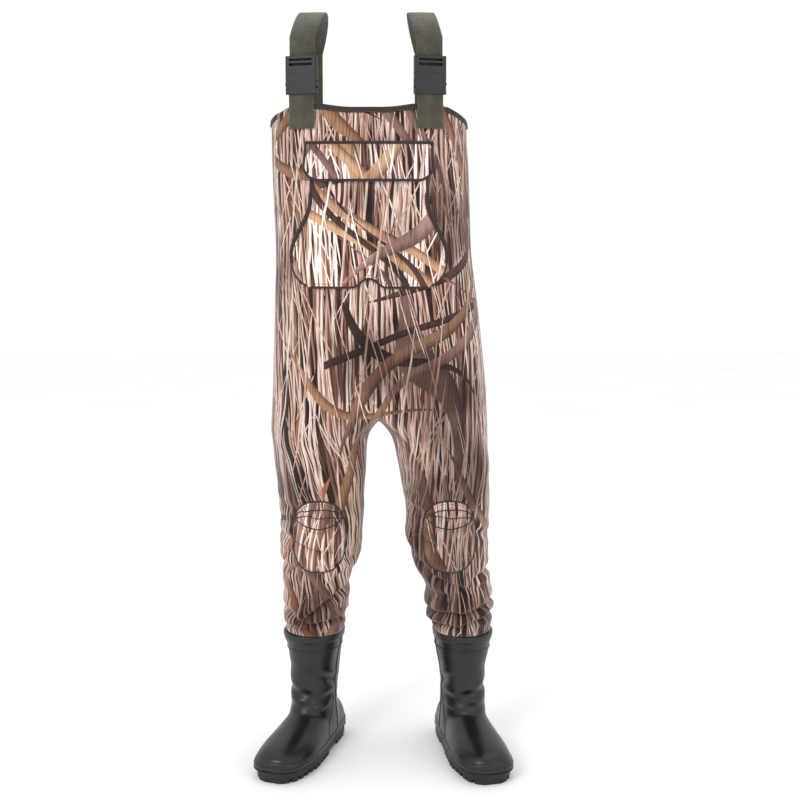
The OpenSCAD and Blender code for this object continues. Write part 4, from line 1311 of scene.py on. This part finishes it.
def make_boot(side, sign):
    place = boot_places(side, sign)
    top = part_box(f"{side}_boot_upper")[1][2]
    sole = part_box(f"{side}_outsole")[1][2]
    upper = join_all(f"{side}_boot", boot_lofts(top, sole))
    remesh = upper.modifiers.new("remesh", "REMESH")
    remesh.mode = "VOXEL"
    remesh.voxel_size = 3.0 * MM
    smooth = upper.modifiers.new("smooth", "SMOOTH")
    smooth.factor = 0.5
    smooth.iterations = 14
    settle(upper)

    co = np.array([v.co[:] for v in upper.data.vertices]) / MM
    x, y, z = co.T
    angle = np.arctan2(x * sign, -(y + 6))
    move = np.zeros(len(co))
    for level, slope, depth, width, centre, spread in BOOT_CREASES:
        d = (z - level - slope * np.sin(angle - centre)) / width
        move += depth * (0.55 * np.exp(-((np.abs(d) - 1.5) / 0.9) ** 2) - np.exp(-d * d)) \
            * np.exp(-((angle - centre) / spread) ** 2)
    move += 1.0 * np.sin(z * 0.05 + angle * 2 + sign) * fade(z, 60, 120)
    out = np.stack([x, y + 6, np.zeros(len(co))], 1)
    out /= np.maximum(np.linalg.norm(out, axis=1, keepdims=True), 1)
    co += out * (move * (1 - fade(z, 205, 235)))[:, None]
    upper.data.vertices.foreach_set("co", (co * MM).astype(np.float32).ravel())

    bm = bmesh.new()
    bm.from_mesh(upper.data)
    for level, keep_above in ((top - 2 * MM, False), (sole + 0.3 * MM, True)):
        geom = bm.verts[:] + bm.edges[:] + bm.faces[:]
        bmesh.ops.bisect_plane(bm, geom=geom, plane_co=(0, 0, level),
                               plane_no=(0, 0, -1 if keep_above else 1), clear_outer=True)
    bm.to_mesh(upper.data)
    bm.free()
    skin = tree_over(upper)

    def put(obj, material, slot, *nodes):
        """Stands a piece of the boot where the boot is, on the lower leg."""
        obj.data.transform(place)
        dress(obj, material, f"{side}_lower_leg", slot, *(f"{side}_{n}" for n in nodes))

    put(thicken(upper, 3.2 * MM), rubber, "boot_rubber", "boot_upper")

    def out_at(a, z, lift, centre_y=None):
        """The boot's face at an angle round the foot (0 at the toe) and a height, raised by lift."""
        if centre_y is None:
            centre_y = FOOT_Y if z < FOOT_TOP_Z else SHAFT_Y
        c = Vector((0.0, centre_y, z))
        way = Vector((math.sin(a), -math.cos(a), 0.0))
        hit = skin.ray_cast(c + way * 0.3, -way, 0.3)[0]
        return hit + way * lift if hit else c + way * 0.04

    # Foxing: a band of rubber right round the foot, higher at the toe and the heel
    loops = []
    steps = 120
    for i in range(steps):
        a = 2 * math.pi * i / steps
        toe = math.exp(-(math.remainder(a, 2 * math.pi) / 0.62) ** 2)
        heel = math.exp(-((math.pi - abs(math.remainder(a, 2 * math.pi))) / 0.42) ** 2)
        height = sole + (9 + 12 * toe + 15 * heel) * MM
        loops.append((a, height))
    profile = [(0.0, -0.4), (0.0, 2.2), (0.25, 2.6), (0.8, 2.6), (0.93, 2.2), (1.0, 0.9), (1.0, -0.6)]
    verts = [out_at(a, sole + (height - sole) * h + 0.8 * MM, lift * MM)
             for a, height in loops for h, lift in profile]
    band = mesh_from("band", verts, grid_faces(steps, len(profile), rows_meet=True))
    edge = [out_at(a, sole + 1.5 * MM, 2.8 * MM) for a, _ in loops]
    ridge = [(a, h) for a, h in loops if abs(math.remainder(a, 2 * math.pi)) < 0.8]
    ridge.sort(key=lambda p: math.remainder(p[0], 2 * math.pi))
    ridge = [out_at(a, sole + (h - sole) * 0.55, 2.5 * MM) for a, h in ridge]
    band = join_all(f"{side}_foxing", [band, tube("edge", edge, 1.0 * MM, closed=True, sides=8),
                                       tube("ridge", ridge, 0.9 * MM, sides=8)])
    put(band, rubber_band, "boot_band_rubber", "toe_cap", "heel_counter")

    # Top band, and the raised seams down both sides
    profile = [(0.0, -3.4), (0.0, 1.2), (-2.0, 1.9), (-13.0, 1.9), (-15.0, 1.3), (-16.0, 0.2)]
    angles = [2 * math.pi * i / 96 for i in range(96)]
    verts = [out_at(a, min(top + (drop - 1.2) * MM, top - 2.6 * MM), lift * MM)
             + Vector((0, 0, max(0.0, (drop + 1.4)) * MM)) for a in angles for drop, lift in profile]
    cuff = mesh_from("cuff", verts, grid_faces(96, len(profile), rows_meet=True))
    bead = [out_at(a, top - 34 * MM, 0.3 * MM) for a in angles]
    cuff = join_all(f"{side}_cuff_band", [cuff, tube("bead", bead, 0.9 * MM, closed=True, sides=8)])
    put(cuff, rubber_band, "boot_band_rubber", "boot_cuff")

    def seam_line(z0, z1, count, angle, sweep, late, lift):
        """A line down the boot's side from z0 to z1, turning by sweep once it is past late."""
        return [out_at(angle + sweep * float(fade(t, late, 1.0)), z0 + (z1 - z0) * t, lift, centre_y=-4 * MM)
                for t in np.linspace(0, 1, count)]

    seams = []
    for hand in (-1, 1):
        line = seam_line(top - 18 * MM, sole + 16 * MM, 46, hand * (math.pi / 2 + 0.12), hand * 0.25, 0.45,
                         0.1 * MM)
        seams.append(tube("seam", line, 1.3 * MM, sides=8))
        line = seam_line(108 * MM, sole + 14 * MM, 30, hand * (math.pi / 2 - 0.10), hand * -0.55, 0.0, 0.0)
        seams.append(tube("vamp", line, 1.0 * MM, sides=8))
    put(join_all(f"{side}_boot_seams", seams), rubber, "boot_rubber")


for side, sign in SIDES.items():
    make_boot(side, sign)


# ---------------------------------------------------------------- studio

FLOOR_HALF = 9
# Where the camera stands and what it looks at
EYE = Vector((0.032, -2.45, 1.03))
LOOK_AT = Vector((0.032, 0.0, 0.755))


def area_light(name, place, target, size, power):
    lamp = bpy.data.lights.new(name, "AREA")
    lamp.shape = "RECTANGLE"
    lamp.size = lamp.size_y = size
    lamp.energy = power
    obj = bpy.data.objects.new(name, lamp)
    obj.location = place
    obj.rotation_euler = (Vector(target) - Vector(place)).to_track_quat("-Z", "Y").to_euler()
    bpy.context.scene.collection.objects.link(obj)


def make_studio():
    """A white sweep under large soft lights, and the camera a few steps in front at waist height."""
    scene = bpy.context.scene
    mesh = bpy.data.meshes.new("floor")
    s = FLOOR_HALF
    mesh.from_pydata([(-s, -s, 0), (s, -s, 0), (s, s, 0), (-s, s, 0)], [], [(0, 1, 2, 3)])
    floor = bpy.data.objects.new("floor", mesh)
    scene.collection.objects.link(floor)
    # Matt white paint, all but even
    paint = make_object_space("painted_floor", [(0.2, "#fafafa"), (0.8, "#ffffff")], 1.5, (0.85, 0.95),
                              40.0, 0.0002)
    floor.data.materials.append(paint)
    world = bpy.data.worlds.new("studio")
    world.use_nodes = True
    background = world.node_tree.nodes["Background"]
    background.inputs["Color"].default_value = tone("#ffffff")
    background.inputs["Strength"].default_value = 1.0
    scene.world = world
    area_light("key", (-1.9, -3.0, 2.9), (0.0, 0.0, 0.8), 1.3, 46)
    area_light("fill", (2.4, -2.6, 1.5), (0.0, 0.0, 0.7), 1.6, 10)
    area_light("top", (0.2, 0.4, 3.6), (0.0, 0.0, 0.6), 2.0, 10)
    scene.view_settings.view_transform = "Standard"
    camera = bpy.data.cameras.new("camera")
    camera.sensor_fit = "VERTICAL"
    camera.angle = math.radians(35.0)
    camera.shift_y = -0.024
    view = bpy.data.objects.new("camera", camera)
    view.location = EYE
    view.rotation_euler = (LOOK_AT - EYE).to_track_quat("-Z", "Y").to_euler()
    scene.collection.objects.link(view)
    scene.camera = view


make_studio()
